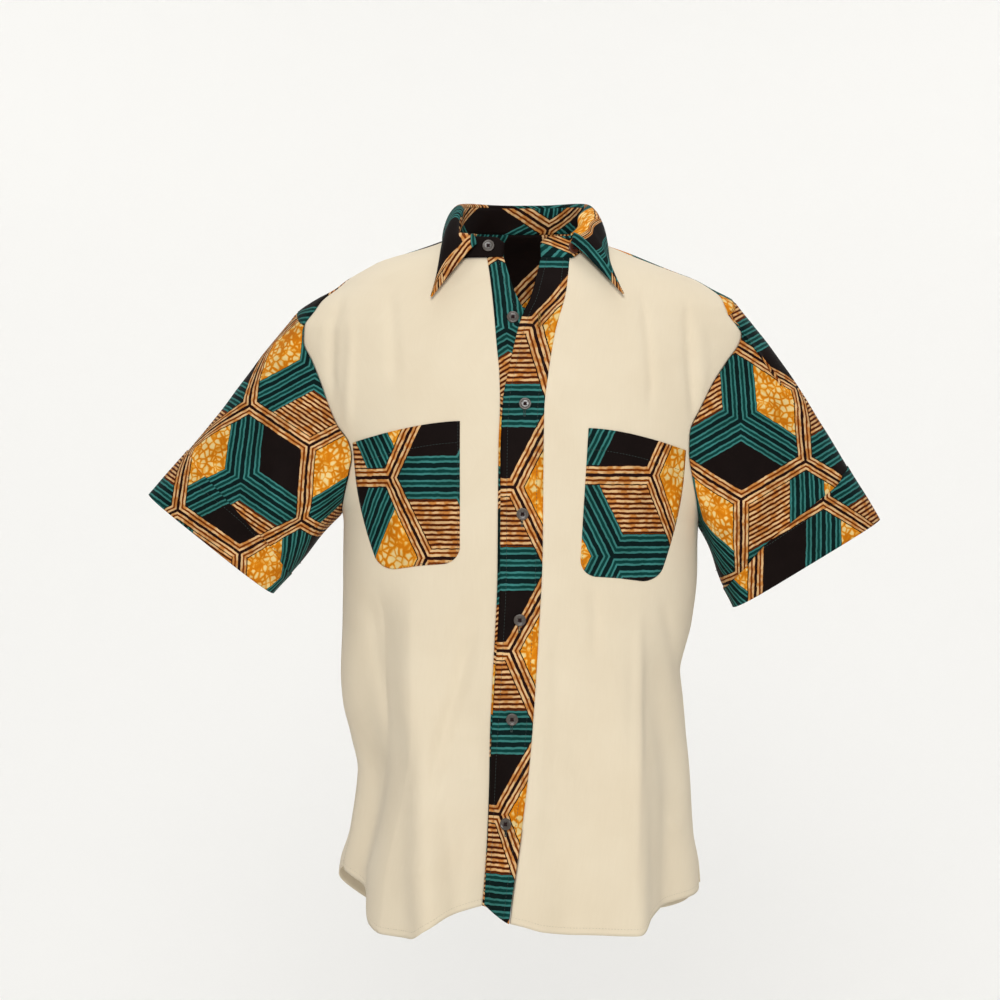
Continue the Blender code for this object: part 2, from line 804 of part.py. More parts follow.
def make_pocket(pocket):
    """A patch pocket: a grid on its front, moved out, with round lower corners."""
    height = abs(pocket.inner_bottom_z - pocket.inner_top_z)
    width = abs(pocket.inner_bottom_x - pocket.outer_bottom_x)
    corner = POCKET_CORNER / height
    downs = [mix(0.0, 1 - corner, k / POCKET_ROWS) for k in range(POCKET_ROWS + 1)]
    for k in range(1, POCKET_CORNER_ROWS + 1):
        quarter = math.radians(90.0 * k / POCKET_CORNER_ROWS)
        downs.append(1 - corner * (1 - math.sin(quarter)))
    places = []
    lifts = []
    for down in downs:
        into_corner = max(0.0, 1 - (1 - down) * height / POCKET_CORNER)
        cut = POCKET_CORNER * (1 - math.sqrt(max(0.0, 1 - into_corner**2))) / width
        bow = pocket.bow * math.sin(math.pi * down)
        row = []
        for j in range(POCKET_COLUMNS + 1):
            across = mix(cut, 1 - cut, j / POCKET_COLUMNS)
            inner_x = mix(pocket.inner_top_x, pocket.inner_bottom_x, down)
            outer_x = mix(pocket.outer_top_x, pocket.outer_bottom_x, down) + bow
            inner_z = mix(pocket.inner_top_z, pocket.inner_bottom_z, down)
            outer_z = mix(pocket.outer_top_z, pocket.outer_bottom_z, down)
            x = mix(inner_x, outer_x, across)
            z = mix(inner_z, outer_z, across**POCKET_TOP_CURVE)
            row.append((angle_at(x, z), z))
        if pocket.outer_top_x < 0:
            row.reverse()
        places.append(row)
        lifts.append([CLOTH + POCKET_GAP + front_lift(*place) for place in row])
    places.reverse()
    lifts.reverse()
    grid, normals = laid(places, lifts)
    wall(pocket.name, grid, normals, CLOTH)


def armhole_ring(side):
    """Seam points round the armhole, from the ridge down the front and up the back."""
    tip = [(side.sign * angle, z) for angle, z in tip_places(side)]
    ridge_first = tip[YOKE_TIP_COLUMNS::-1]
    arm, _ = armhole_rows(side)
    front = [(front_edge_angle(side, z), z) for z in reversed(arm[1:-1])]
    underarm = [(90.0 * side.sign, side.underarm_z)]
    back = [seam_place(side, HEM_ROWS + k) for k in range(1, ARM_ROWS)]
    behind = tip[:YOKE_TIP_COLUMNS:-1]
    front_half = ridge_first + front + underarm
    places = front_half + back + behind
    return [on_body(*place) for place in places], len(front_half) - 1


def turns_of(ring, underarm):
    """How far round the armhole each seam point is, 0 at the ridge and 180 under the arm."""
    closed = ring + ring[:1]
    lengths = [0.0]
    for a, b in zip(closed, closed[1:]):
        lengths.append(lengths[-1] + (b - a).length)
    under = lengths[underarm]
    whole = lengths[-1]
    turns = []
    for length in lengths[:-1]:
        if length <= under:
            turns.append(180.0 * length / under)
        else:
            turns.append(180.0 + 180.0 * (length - under) / (whole - under))
    return turns


def cuff_point(side, turn):
    """A point of the sleeve's end at a turn round it, 0 outside and 90 in front."""
    outer = Vector((side.sign * side.cuff_outer_x, 0.0, side.cuff_outer_z))
    inner = Vector((side.sign * side.cuff_inner_x, 0.0, side.cuff_inner_z))
    centre = (outer + inner) / 2
    cosine = math.cos(math.radians(turn))
    sine = math.sin(math.radians(turn))
    point = centre + (outer - centre) * cosine
    point.y = -CUFF_DEPTH / 2 * sine
    point.z += CUFF_BACK_DROP * (sine - 1) / 2 * (abs(sine))
    return point


def sleeve_grid(side):
    """Rings of middle points from the armhole to the sleeve's end."""
    ring, underarm = armhole_ring(side)
    turns = turns_of(ring, underarm)
    ends = [cuff_point(side, turn) for turn in turns]
    rows = []
    for k in range(SLEEVE_ROWS + 1):
        along = k / SLEEVE_ROWS
        row = []
        for start, end, turn in zip(ring, ends, turns):
            low = (1 - math.cos(math.radians(turn))) / 2
            way = (end - start).normalized()
            out = Vector((side.sign, 0.0, 0.0))
            gap = mix(SLEEVE_GAP_TOP, SLEEVE_GAP_UNDER, low)
            begin = start + way * gap + out * SLEEVE_SIDESTEP * low**3
            point = begin.lerp(end, along)
            puff = side.cap_puff * math.sin(math.pi * along) * (1 - low)
            full = SLEEVE_FULLNESS * math.sin(math.pi * along) * abs(math.sin(math.radians(turn)))
            point += Vector((side.sign * puff * CAP_PUFF_X, 0.0, puff * CAP_PUFF_Z))
            point.y += math.copysign(full, point.y)
            row.append(point)
        rows.append(row)
    return rows


def grid_normals(grid, flip):
    """Outward directions of a grid whose columns go right round."""
    rows = len(grid)
    columns = len(grid[0])
    normals = []
    for i in range(rows):
        row = []
        for j in range(columns):
            around = grid[i][(j + 1) % columns] - grid[i][j - 1]
            along = grid[min(i + 1, rows - 1)][j] - grid[max(i - 1, 0)][j]
            row.append(around.cross(along).normalized() * flip)
        normals.append(row)
    return normals


def make_sleeve(side):
    grid = sleeve_grid(side)
    normals = grid_normals(grid, side.sign)
    wall("sleeve_" + side.name, grid, normals, CLOTH, around=True)

    # The turned-up hem lies on the sleeve's last stretch, a layer further out
    lift = CLOTH + SLEEVE_HEM_GAP
    length = (grid[-1][0] - grid[0][0]).length
    share = SLEEVE_HEM_DEPTH / length
    rows = []
    turned = []
    for k in range(SLEEVE_HEM_ROWS + 1):
        along = (1 - share * (1 - k / SLEEVE_HEM_ROWS)) * SLEEVE_ROWS
        i = min(int(along), SLEEVE_ROWS - 1)
        part = along - i
        row = []
        directions = []
        for j in range(len(grid[0])):
            normal = normals[i][j].lerp(normals[i + 1][j], part).normalized()
            row.append(grid[i][j].lerp(grid[i + 1][j], part) + normal * lift)
            directions.append(normal)
        rows.append(row)
        turned.append(directions)
    wall("sleeve_hem_" + side.name, rows, turned, CLOTH, around=True)


def neck_angles():
    """Angles round the neck, from the button band behind to the buttonhole band."""
    z = NECK_Z(0)
    start = angle_at(UNDER_RIGHT_X(z), z)
    end = angle_at(OUTER_LEFT_X(z), z) - 360.0
    return [mix(start, end, k / STAND_COLUMNS) for k in range(STAND_COLUMNS + 1)]


def neck_height(angle):
    return NECK_Z(abs((angle + 180.0) % 360.0 - 180.0))


def stand_line(angle):
    """The foot and the top of the stand at an angle round the neck."""
    around = abs((angle + 180.0) % 360.0 - 180.0)
    foot = on_body(angle, neck_height(angle))
    height = mix(STAND_FRONT_HEIGHT, STAND_BACK_HEIGHT, ease(around / STAND_FULL_ANGLE))
    inward = Vector((STAND_CENTRE_X - foot.x, -foot.y, 0.0)).normalized()
    foot = foot + Vector((0.0, 0.0, STAND_CLEARANCE))
    top = foot + inward * STAND_LEAN + Vector((0.0, 0.0, height))
    return foot, top, -inward


def make_stand():
    angles = neck_angles()
    grid = [[], [], []]
    normals = [[], [], []]
    for j, angle in enumerate(angles):
        foot, top, out = stand_line(angle)
        if j in (0, STAND_COLUMNS):
            top = top - Vector((0.0, 0.0, STAND_END_ROUND))
        for i, share in enumerate((0.0, 0.5, 1.0)):
            grid[i].append(foot.lerp(top, share))
            normals[i].append(out)
    pull_in(grid, first=True, last=True)
    wall("collar_stand", grid, normals, FOLDED_CLOTH)


def leaf_grid():
    """Points of the leaf: up from the stand, over the fold and down to its edge."""
    edge_x = column_of(LEAF_EDGE, "turn", "x")
    edge_y = column_of(LEAF_EDGE, "turn", "y")
    edge_z = column_of(LEAF_EDGE, "turn", "z")
    angles = neck_angles()[LEAF_FROM_END:-LEAF_FROM_END]
    grid = [[] for _ in range(LEAF_ROWS + 1)]
    inward = []
    for j, angle in enumerate(angles):
        turn = j / (len(angles) - 1)
        _, top, out = stand_line(angle)
        inward.append(-out)
        edge = Vector((edge_x(turn), edge_y(turn), edge_z(turn)))
        start = top + Vector((0.0, 0.0, LAYER_GAP))
        rise = start + out * LEAF_RISE[0] + Vector((0.0, 0.0, LEAF_RISE[1]))
        roll = start.lerp(edge, LEAF_ROLL_SHARE) + out * LEAF_ROLL[0]
        roll = roll + Vector((0.0, 0.0, LEAF_ROLL[1]))
        for i in range(LEAF_ROWS + 1):
            s = i / LEAF_ROWS
            point = start * (1 - s) ** 3
            point += rise * 3 * s * (1 - s) ** 2
            point += roll * 3 * s * s * (1 - s)
            point += edge * s**3
            grid[i].append(point)
    return grid, inward


def open_grid_normals(grid):
    """Directions square to a grid with two free sides."""
    rows = len(grid)
    columns = len(grid[0])
    normals = []
    for i in range(rows):
        row = []
        for j in range(columns):
            across = grid[i][min(j + 1, columns - 1)] - grid[i][max(j - 1, 0)]
            along = grid[min(i + 1, rows - 1)][j] - grid[max(i - 1, 0)][j]
            row.append(across.cross(along).normalized())
        normals.append(row)
    return normals


def make_leaf():
    grid, inward = leaf_grid()
    normals = open_grid_normals(grid)
    normals[0] = inward  # the first row stands level on the top of the stand
    wall("collar_leaf", grid, normals, FOLDED_CLOTH)


def make_button(name, centre, normal):
    """A round button with a dished face inside a raised rim."""
    rim_inside = BUTTON_RADIUS - BUTTON_RIM
    half = BUTTON_THICK / 2
    profile = (
        (BUTTON_RADIUS - BUTTON_BACK_BEVEL, 0.0),
        (BUTTON_RADIUS, half),
        (BUTTON_RADIUS - BUTTON_TOP_BEVEL, BUTTON_THICK),
        (rim_inside, BUTTON_THICK),
        (rim_inside - BUTTON_DISH, BUTTON_THICK - BUTTON_DISH),
    )
    frame = normal.to_track_quat("Z", "Y")
    mesh = bmesh.new()
    rings = []
    for radius, height in profile:
        ring = []
        for k in range(BUTTON_SIDES):
            turn = math.tau * k / BUTTON_SIDES
            place = Vector((radius * math.cos(turn), radius * math.sin(turn), height))
            ring.append(mesh.verts.new((centre + frame @ place) * MM))
        rings.append(ring)
    for low, high in zip(rings, rings[1:]):
        for k in range(BUTTON_SIDES):
            m = (k + 1) % BUTTON_SIDES
            mesh.faces.new((low[k], low[m], high[m], high[k]))
    mesh.faces.new(rings[0][::-1])
    mesh.faces.new(rings[-1])
    finish(name, mesh)


def make_buttons():
    for button in BUTTONS:
        angle = angle_at(button.x, button.z)
        normal = body_normal(angle, button.z)
        lift = button.lift + LAYER_GAP
        centre = on_body(angle, button.z) + normal * lift
        make_button(button.name, centre, normal)


def make_stand_buttons():
    for button in STAND_BUTTONS:
        angle = angle_at(button.x, NECK_Z(0))
        foot, top, _ = stand_line(angle)
        beside, _, _ = stand_line(angle + 1.0)
        normal = (beside - foot).cross(top - foot).normalized()
        centre = foot.lerp(top, button.share) + normal * (FOLDED_CLOTH / 2 + STAND_BUTTON_GAP)
        make_button(button.name, centre, normal)


def make_shirt():
    left_rows = make_front(LEFT, OUTER_RIGHT_X, LEFT_HEM_Z)
    right_rows = make_front(RIGHT, UNDER_LEFT_X, RIGHT_HEM_Z)
    make_back()
    make_yoke()
    outer_edges = (OUTER_LEFT_X, OUTER_RIGHT_X)
    make_band("band_outer", outer_edges, band_lift, left_rows, 1, OUTER_BAND_HEM_Z)
    under_edges = (UNDER_LEFT_X, UNDER_RIGHT_X)
    make_band("band_under", under_edges, flat, right_rows, 0, UNDER_BAND_HEM_Z)
    for pocket in POCKETS:
        make_pocket(pocket)
    for side in (LEFT, RIGHT):
        make_sleeve(side)
    make_stand()
    make_leaf()
    make_buttons()
    make_stand_buttons()


def colour_shirt():
    cream = material("cream_cotton", CREAM, CLOTH_ROUGHNESS)
    printed = material("wax_print_cotton", PRINT, CLOTH_ROUGHNESS)
    edged = material("wax_print_band", PRINT_BAND, CLOTH_ROUGHNESS)
    grey = material("button_resin", BUTTON_GREY, BUTTON_ROUGHNESS)
    brown = material("brown_button_resin", BUTTON_BROWN, BUTTON_ROUGHNESS)
    for made in bpy.context.collection.objects:
        if made.name == "button_under_collar":
            finish_of = brown
        elif made.name.startswith("button"):
            finish_of = grey
        elif made.name.startswith(("front", "back")):
            finish_of = cream
        elif made.name.startswith(("band", "sleeve_hem", "pocket", "collar_leaf")):
            finish_of = edged
        else:
            finish_of = printed
        made.data.materials.append(finish_of)


def main():
    for old in list(bpy.data.objects):
        bpy.data.objects.remove(old)
    make_shirt()
    colour_shirt()


main()
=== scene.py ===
"""The look of a short-sleeved cotton shirt with wax-printed parts, as a Blender add-on.

The shirt keeps the hollow shape that it has when it is worn. Tables are in
millimetres and degrees, the meshes in metres. The front faces -Y, +Z is up and
the wearer's left side is at +X. Angles run round the body: 0 is the front, 90
the wearer's left side and 180 the back.
"""

import math
from collections import namedtuple
from functools import partial

import bpy
import numpy as np
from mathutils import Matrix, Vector


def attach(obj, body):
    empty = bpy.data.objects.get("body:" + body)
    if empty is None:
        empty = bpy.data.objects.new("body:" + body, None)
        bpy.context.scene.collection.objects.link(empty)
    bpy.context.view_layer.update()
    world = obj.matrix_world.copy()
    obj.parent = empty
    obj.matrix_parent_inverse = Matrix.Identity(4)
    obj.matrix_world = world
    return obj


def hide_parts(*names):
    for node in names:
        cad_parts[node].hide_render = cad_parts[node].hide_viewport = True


bl_info = {
    "name": "Wax print shirt",
    "version": (1, 0, 0),
    "blender": (4, 5, 0),
    "location": "3D View > Sidebar > Shirt",
    "description": "Builds a worn cotton shirt with wax-printed bands, pockets, collar and sleeves",
    "category": "Object",
}

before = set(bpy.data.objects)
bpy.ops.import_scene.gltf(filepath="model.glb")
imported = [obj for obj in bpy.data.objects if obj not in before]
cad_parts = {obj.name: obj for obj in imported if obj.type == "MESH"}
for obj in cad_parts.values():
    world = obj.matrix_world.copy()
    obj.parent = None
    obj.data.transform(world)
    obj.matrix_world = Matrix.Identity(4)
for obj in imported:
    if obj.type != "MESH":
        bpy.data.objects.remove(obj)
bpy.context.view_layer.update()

MM = 0.001
CLOTH_MAP = "cloth"

# Heights and layers that the pieces share with the solids
OUTER_BAND_LIFT = 2.4
LIFT_FADE = 45.0
LIFT_TOP_Z = -22.0
LIFT_FULL_Z = -62.0
YOKE_BACK_Z = -82.0
YOKE_NECK_ANGLE = 83.0
TIP_ROUND = 2.2
TIP_SPREAD = 0.8
BACK_HEM_Z = -712.0
OUTER_BAND_HEM_Z = -675.0
UNDER_BAND_HEM_Z = -686.0
BACK_TAIL_ANGLE = 38.0
SLEEVE_HEM_DEPTH = 46.0
SLEEVE_HEM_TURNING = 4.0

# Rows and columns of the cloth grids
HEM_ROWS = 112
ARM_ROWS = 56
SHOULDER_ROWS = 28
FRONT_COLUMNS = 96
BACK_COLUMNS = 150
BAND_COLUMNS = 18
CORNER_ROWS = 14
TIP_COLUMNS = 14
YOKE_BACK_COLUMNS = 110
SLEEVE_ROWS = 64
STAND_COLUMNS = 120
LEAF_ROWS = 34
POCKET_COLUMNS = 48
POCKET_ROWS = 56

# The body form by height: how far it reaches to both sides, in front and behind, and
# the power of its outline, where 2 is round and more is squarer
Section = namedtuple("Section", "z left right front back square")
SECTIONS = (
    Section(30, -54, 60, 52, 60, 2.0),
    Section(18, -66, 73, 57, 66, 2.0),
    Section(8, -90, 86, 62, 77, 2.0),
    Section(-3, -122, 116, 68, 87, 2.0),
    Section(-12, -150, 138, 73, 93, 2.0),
    Section(-20, -165, 158, 78, 98, 2.0),
    Section(-30, -183, 184, 83, 103, 2.0),
    Section(-40, -196, 202, 88, 107, 2.0),
    Section(-52, -218, 225, 92, 111, 2.0),
    Section(-66, -238, 243, 96, 115, 2.0),
    Section(-87, -252, 252, 102, 119, 2.0),
    Section(-120, -243, 243, 111, 122, 2.05),
    Section(-150, -230, 230, 120, 124, 2.15),
    Section(-200, -210, 212, 128, 125, 2.25),
    Section(-250, -196, 198, 131, 124, 2.3),
    Section(-288, -187, 187, 131, 122, 2.35),
    Section(-330, -187, 186, 130, 119, 2.4),
    Section(-390, -188.5, 179.5, 128, 116, 2.4),
    Section(-443, -188.5, 168.5, 127, 114, 2.4),
    Section(-475, -187, 171, 127, 115, 2.4),
    Section(-512, -179, 175, 127, 117, 2.4),
    Section(-547, -172.5, 178, 128, 120, 2.4),
    Section(-613, -180, 182, 130, 126, 2.4),
    Section(-650, -189.5, 188, 132, 129, 2.4),
    Section(-720, -192, 190, 134, 133, 2.4),
)

# A fold runs from its top point to its bottom point and grows on the way
Fold = namedtuple("Fold", "top_angle top_z bottom_angle bottom_z width height")
FOLDS = (
    Fold(-47, -335, -34, -700, 8.5, 20),
    Fold(-60, -340, -78, -640, 9.0, -11),
    Fold(-24, -360, -17, -690, 9.0, -16),
    Fold(47, -345, 42, -700, 7.5, 20),
    Fold(60, -340, 66, -560, 8.0, -9),
    Fold(63, -520, 62, -700, 10.0, -9),
    Fold(22, -440, 22, -700, 10.0, -8),
    Fold(8, -470, 2, -700, 15.0, 6),
    Fold(112, -330, 116, -712, 9.0, 12),
    Fold(138, -300, 140, -712, 10.0, -10),
    Fold(163, -330, 160, -712, 9.0, 12),
    Fold(-172, -360, -176, -712, 10.0, -9),
    Fold(-150, -310, -152, -712, 9.0, 13),
    Fold(-126, -340, -128, -712, 10.0, -9),
    Fold(-106, -380, -103, -700, 8.0, 9),
)

# A crease follows points (x, z) seen from the front. It stands out by its
# height, or sinks in where that is negative, and fades over its two ends.
Crease = namedtuple("Crease", "points width height")
CREASES = (
    # Below and beside the wearer's right pocket
    Crease(((-43, -365), (-62, -440), (-84, -520), (-101, -600)), 9, -4.4),
    Crease(((-163, -352), (-158, -420), (-150, -470), (-146, -520)), 6, -1.6),
    # The sharp press fold below the wearer's left pocket
    Crease(((121, -352), (120, -410), (119, -520), (116, -600), (113, -700)), 5.5, 3.6),
    Crease(((144, -352), (155, -405), (163, -440), (165, -470)), 7, -2.0),
    Crease(((48, -470), (60, -540), (78, -620)), 14, -2.4),
    Crease(((42, -340), (36, -460), (28, -600), (20, -690)), 13, -2.6),
    Crease(((72, -340), (76, -380), (74, -430)), 7, -2.2),
    Crease(((150, -592), (163, -603), (174, -600)), 5, 1.2),
    # Short level creases between band and pocket
    Crease(((-76, -506), (-52, -502), (-36, -503)), 4, 0.9),
    Crease(((-70, -552), (-50, -548), (-38, -548)), 4, 0.8),
    # Shoulders
    Crease(((-184, -40), (-196, -85), (-197, -130), (-192, -172)), 6, -3.4),
    Crease(((-178, -60), (-176, -100), (-178, -150), (-180, -200)), 5, 2.2),
    Crease(((-136, -34), (-132, -90), (-128, -160)), 7, -2.0),
    Crease(((120, -34), (129, -80), (133, -140), (130, -185)), 5, -2.4),
    Crease(((171, -44), (172, -100), (176, -150), (180, -198)), 4.5, -2.8),
    Crease(((182, -70), (188, -120), (186, -170)), 6, 2.0),
    # Under the arms
    Crease(((-168, -255), (-150, -250), (-120, -262)), 8, -1.5),
    Crease(((160, -262), (146, -256), (118, -266)), 8, -1.4),
)

# Edges of the front bands: height, then x
OUTER_BAND_RIGHT = (
    (-12, 50), (-47, 46), (-91, 34.3), (-135, 26.9), (-172, 22.7), (-243, 21.6),
    (-309, 21.1), (-408, 16.5), (-519, 8.9), (-607, -1), (-673, -9.8), (-692, -12),
)
OUTER_BAND_LEFT = (
    (-12, 20.5), (-57, 8.8), (-70, 2.6), (-89, -3.6), (-125, -11.8), (-163, -19),
    (-208, -21), (-278, -21.5), (-340, -22), (-408, -25), (-507, -30.6), (-618, -37.2),
    (-692, -43.5),
)
UNDER_BAND_LEFT = (
    (-12, -35.4), (-32, -32.3), (-69, -28.2), (-106, -25.1), (-133, -22.6), (-165, -21.8),
    (-208, -23.4), (-278, -24), (-340, -24.5), (-408, -27.5), (-507, -33), (-618, -39.6),
    (-692, -46),
)
UNDER_BAND_RIGHT = (
    (-12, -18.5), (-47, -7.6), (-70, 2.6), (-100, 9), (-135, 14), (-172, 17.5),
    (-243, 18.5), (-309, 18), (-408, 13.5), (-519, 6), (-607, -4), (-692, -14),
)

# Seam and hems: angle round the body, then height
NECK_SEAM = (
    (0, -12), (41, -12), (47, -6), (53, 3), (60, 10), (70, 15), (83, 18), (90, 19),
    (135, 23), (180, 24),
)
LEFT_FRONT_HEM = (
    (-8, -690), (0, -694), (10, -701), (25, -705), (42, -705), (50, -692), (60, -684),
    (75, -676), (90, -668),
)
RIGHT_FRONT_HEM = (
    (-90, -652), (-80, -666), (-72, -683), (-62, -701), (-54, -708), (-42, -709),
    (-34, -698), (-28, -685), (-20, -677), (-10, -674), (10, -677),
)

# Armholes are given as height and distance from the middle, the shoulder seam as
# height and angle, and both ends of the sleeve's opening as x and z
Side = namedtuple(
    "Side",
    "name sign underarm_z hem_z ridge_z corner_z front_armhole back_armhole "
    "shoulder_seam cuff_outer cuff_inner cap_puff",
)
LEFT = Side(
    name="left",
    sign=1,
    underarm_z=-288.0,
    hem_z=-668.0,
    ridge_z=-51.5,
    corner_z=-70.5,
    front_armhole=(
        (-70.5, 217), (-79, 225), (-87, 231), (-97, 229), (-120, 214), (-143, 199),
        (-172, 184), (-195, 174), (-215, 173.5), (-240, 177), (-265, 182.3), (-288, 187),
    ),
    back_armhole=(
        (-82, 226), (-120, 214), (-160, 198), (-200, 186), (-235, 183), (-265, 184.5),
        (-288, 187),
    ),
    shoulder_seam=(
        (18, 83), (8, 80), (-3, 82), (-12, 86), (-22, 88), (-32, 87.5), (-42, 84.5),
        (-52, 81), (-62, 78.5), (-70.5, 77.8),
    ),
    cuff_outer=(379.0, -284.0),
    cuff_inner=(226.0, -376.0),
    cap_puff=6.0,
)
RIGHT = Side(
    name="right",
    sign=-1,
    underarm_z=-276.0,
    hem_z=-652.0,
    ridge_z=-65.0,
    corner_z=-81.0,
    front_armhole=(
        (-81, 227), (-97, 228), (-119, 218), (-143, 208), (-165, 200), (-186, 191),
        (-204, 179), (-218, 176), (-235, 179), (-255, 184), (-276, 189),
    ),
    back_armhole=(
        (-82, 235), (-120, 221), (-160, 203), (-200, 189), (-235, 185), (-258, 186.5),
        (-276, 189),
    ),
    shoulder_seam=(
        (18, 83), (8, 81), (-3, 83), (-14, 87), (-26, 88), (-38, 87), (-50, 83.5),
        (-66, 80), (-81, 79.8),
    ),
    cuff_outer=(393.0, -258.0),
    cuff_inner=(263.0, -361.0),
    cap_puff=-2.0,
)
CUFF_DEPTH = 80.0
CUFF_BACK_DROP = 6.0
SLEEVE_FULLNESS = 5.0

# The pocket's four corners, and how far its outer edge bows out
Pocket = namedtuple(
    "Pocket",
    "name outer_top_x outer_top_z inner_top_x inner_top_z "
    "outer_bottom_x outer_bottom_z inner_bottom_x inner_bottom_z bow",
)
POCKETS = (
    Pocket("pocket_left", 169, -212, 68, -190, 139, -348, 58.5, -340, 6),
    Pocket("pocket_right", -174, -204, -62.6, -183, -145, -336, -62.6, -327, -6),
)
POCKET_CORNER = 17.0
POCKET_TOP_CURVE = 1.6
POCKET_FOLLOWS = 0.8  # how much of the front's shape the pocket takes on

STAND_FRONT_HEIGHT = 21.0
STAND_BACK_HEIGHT = 28.0
STAND_LEAN = 4.0
STAND_CENTRE_X = 4.0
STAND_FULL_ANGLE = 120.0
STAND_END_ROUND = 6.0

# The free edge of the leaf, from its right point round behind to its left one
LeafEdge = namedtuple("LeafEdge", "turn x y z")
LEAF_EDGE = (
    LeafEdge(0.00, -93, -93, -54),
    LeafEdge(0.04, -87, -80, -30),
    LeafEdge(0.08, -84, -66, -10),
    LeafEdge(0.15, -82, -42, 7),
    LeafEdge(0.23, -82, -8, 18),
    LeafEdge(0.31, -79, 30, 19),
    LeafEdge(0.40, -56, 68, 13),
    LeafEdge(0.50, 3, 88, 9),
    LeafEdge(0.60, 62, 68, 13),
    LeafEdge(0.69, 85, 30, 19),
    LeafEdge(0.77, 89, -8, 17),
    LeafEdge(0.85, 90, -42, 5),
    LeafEdge(0.92, 91, -66, -13),
    LeafEdge(0.96, 96, -80, -31),
    LeafEdge(1.00, 105, -92, -51),
)
LEAF_START = 1.0 / 15.0  # the leaf starts this far in along the stand, at both ends
LEAF_RISE = (1.5, 9.0)  # out and up
LEAF_ROLL = (8.0, 13.0)  # out and up
LEAF_ROLL_SHARE = 0.42

# Pressed pleats of the front: the sharp ridge's way as (x, z), how far aside its
# valley and its other side lie, and its depth
Pleat = namedtuple("Pleat", "ridge valley end depth")
LONG_RIDGE = (
    (-114, -335), (-113, -500), (-116, -540), (-122, -572), (-131, -612), (-140, -650),
    (-146, -706),
)
SHORT_RIDGE = ((-101, -530), (-103, -575), (-98, -612), (-94, -650), (-90, -706))
PLEATS = (Pleat(LONG_RIDGE, -36, -78, 13.5), Pleat(SHORT_RIDGE, 25, 60, 5.0))
PLEAT_ROUND = 0.35  # share of a pleat's depth with rounded sides

# How far from seams and ends the shapes of the cloth fade out
CREASE_FADE = 0.3  # share of a crease's length
PLEAT_FADE = 60.0
BAND_SEAM_FADE = 20.0
SIDE_FADE = 40.0
YOKE_SEAM_FADE = 60.0
STAND_END_FADE = 9.0

# A seam draws the cloth in this deep, beside a line this wide
SEAM_DEPTH = 0.7
SEAM_WIDTH = 2.2

# Long waves that make the cloth uneven
Wave = namedtuple("Wave", "across up phase height")
WAVES = (
    Wave(0.031, 0.012, 0.4, 0.50),
    Wave(-0.022, 0.037, 1.9, 0.42),
    Wave(0.057, -0.021, 3.1, 0.26),
    Wave(0.018, 0.071, 4.4, 0.22),
    Wave(0.094, 0.043, 0.9, 0.12),
    Wave(-0.083, 0.064, 2.2, 0.12),
)
BACK_WAVES = 1.6  # times as high as the front's
BACK_WAVE_SHIFT = 70.0
BACK_WAVE_STRETCH = 0.8

# Soft folds of the sleeves: seen from the front, the side, the way and the place of each
SleeveFold = namedtuple("SleeveFold", "sign points width height")
SLEEVE_FOLDS = (
    SleeveFold(-1, ((-250, -205), (-262, -262), (-285, -315), (-292, -350)), 11, 4.0),
    SleeveFold(-1, ((-262, -300), (-278, -340)), 6, -2.0),
    SleeveFold(-1, ((-214, -262), (-232, -290), (-262, -318)), 8, -3.0),
    SleeveFold(-1, ((-236, -120), (-262, -175), (-300, -215)), 14, -2.2),
    SleeveFold(1, ((196, -200), (224, -262), (250, -330)), 11, -3.4),
    SleeveFold(1, ((236, -160), (262, -166), (290, -178)), 6, 2.4),
    SleeveFold(1, ((246, -96), (282, -170), (320, -250)), 14, -2.6),
    SleeveFold(1, ((205, -262), (232, -320), (240, -368)), 7, 3.2),
)
FRONT_SHARPNESS = 1.6  # how soon the folds give way to the waves behind
BEHIND_WAVES = 1.2
BEHIND_WAVES_ALONG = 7.0
BEHIND_WAVES_ROUND = 3.0
SLEEVE_WAVES = 0.6
SLEEVE_WAVE_STRETCH = 1.7
SLEEVE_WAVE_SHIFT = 40.0
SLEEVE_SEAM_SHARE = 0.12  # share of the length that the seam holds still
SLEEVE_HEM_SHARE = 0.3  # share of the length that the hem holds
SLEEVE_HEM_LOOSE = 0.35  # what the hem leaves of the folds
CAP_PUFF_OUT = 0.8
CAP_PUFF_UP = 0.6

# The line along the top of the shoulders: distance from the middle, then height
SHOULDER_LINE = (
    (0, 21), (66, 21), (80, 14), (100, 4), (120, -2), (140, -9), (160, -17), (180, -26),
    (195, -35), (205, -42), (235, -54),
)

# How far the pieces stand off what they lie on, and the pocket's flat rim
HEM_LIFT = 1.15
POCKET_LIFT = 1.3
POCKET_RIM_SINK = 0.5
POCKET_RIM_WIDTH = 3.0
BUTTON_GAP = 0.35
STAND_BUTTON_GAP = 0.6

FACING_WIDTH = 9.5
FACING_TAIL_WIDTH = 0.8
FACING_COLUMNS = 10
FACING_FIRST_ROW = 6
FACING_TUCK = 0.12  # share of its width that lies behind the leaf
FACING_TAPER = 2.4
FACING_LIFT = 0.9
FACING_BULGE = 1.3
FACING_ROLL = 0.85
STAND_ROWS = 8

# The size that each sheet was cut to, as width, length and area in metres, and how it
# is held now
Cut = namedtuple("Cut", "width length area held")

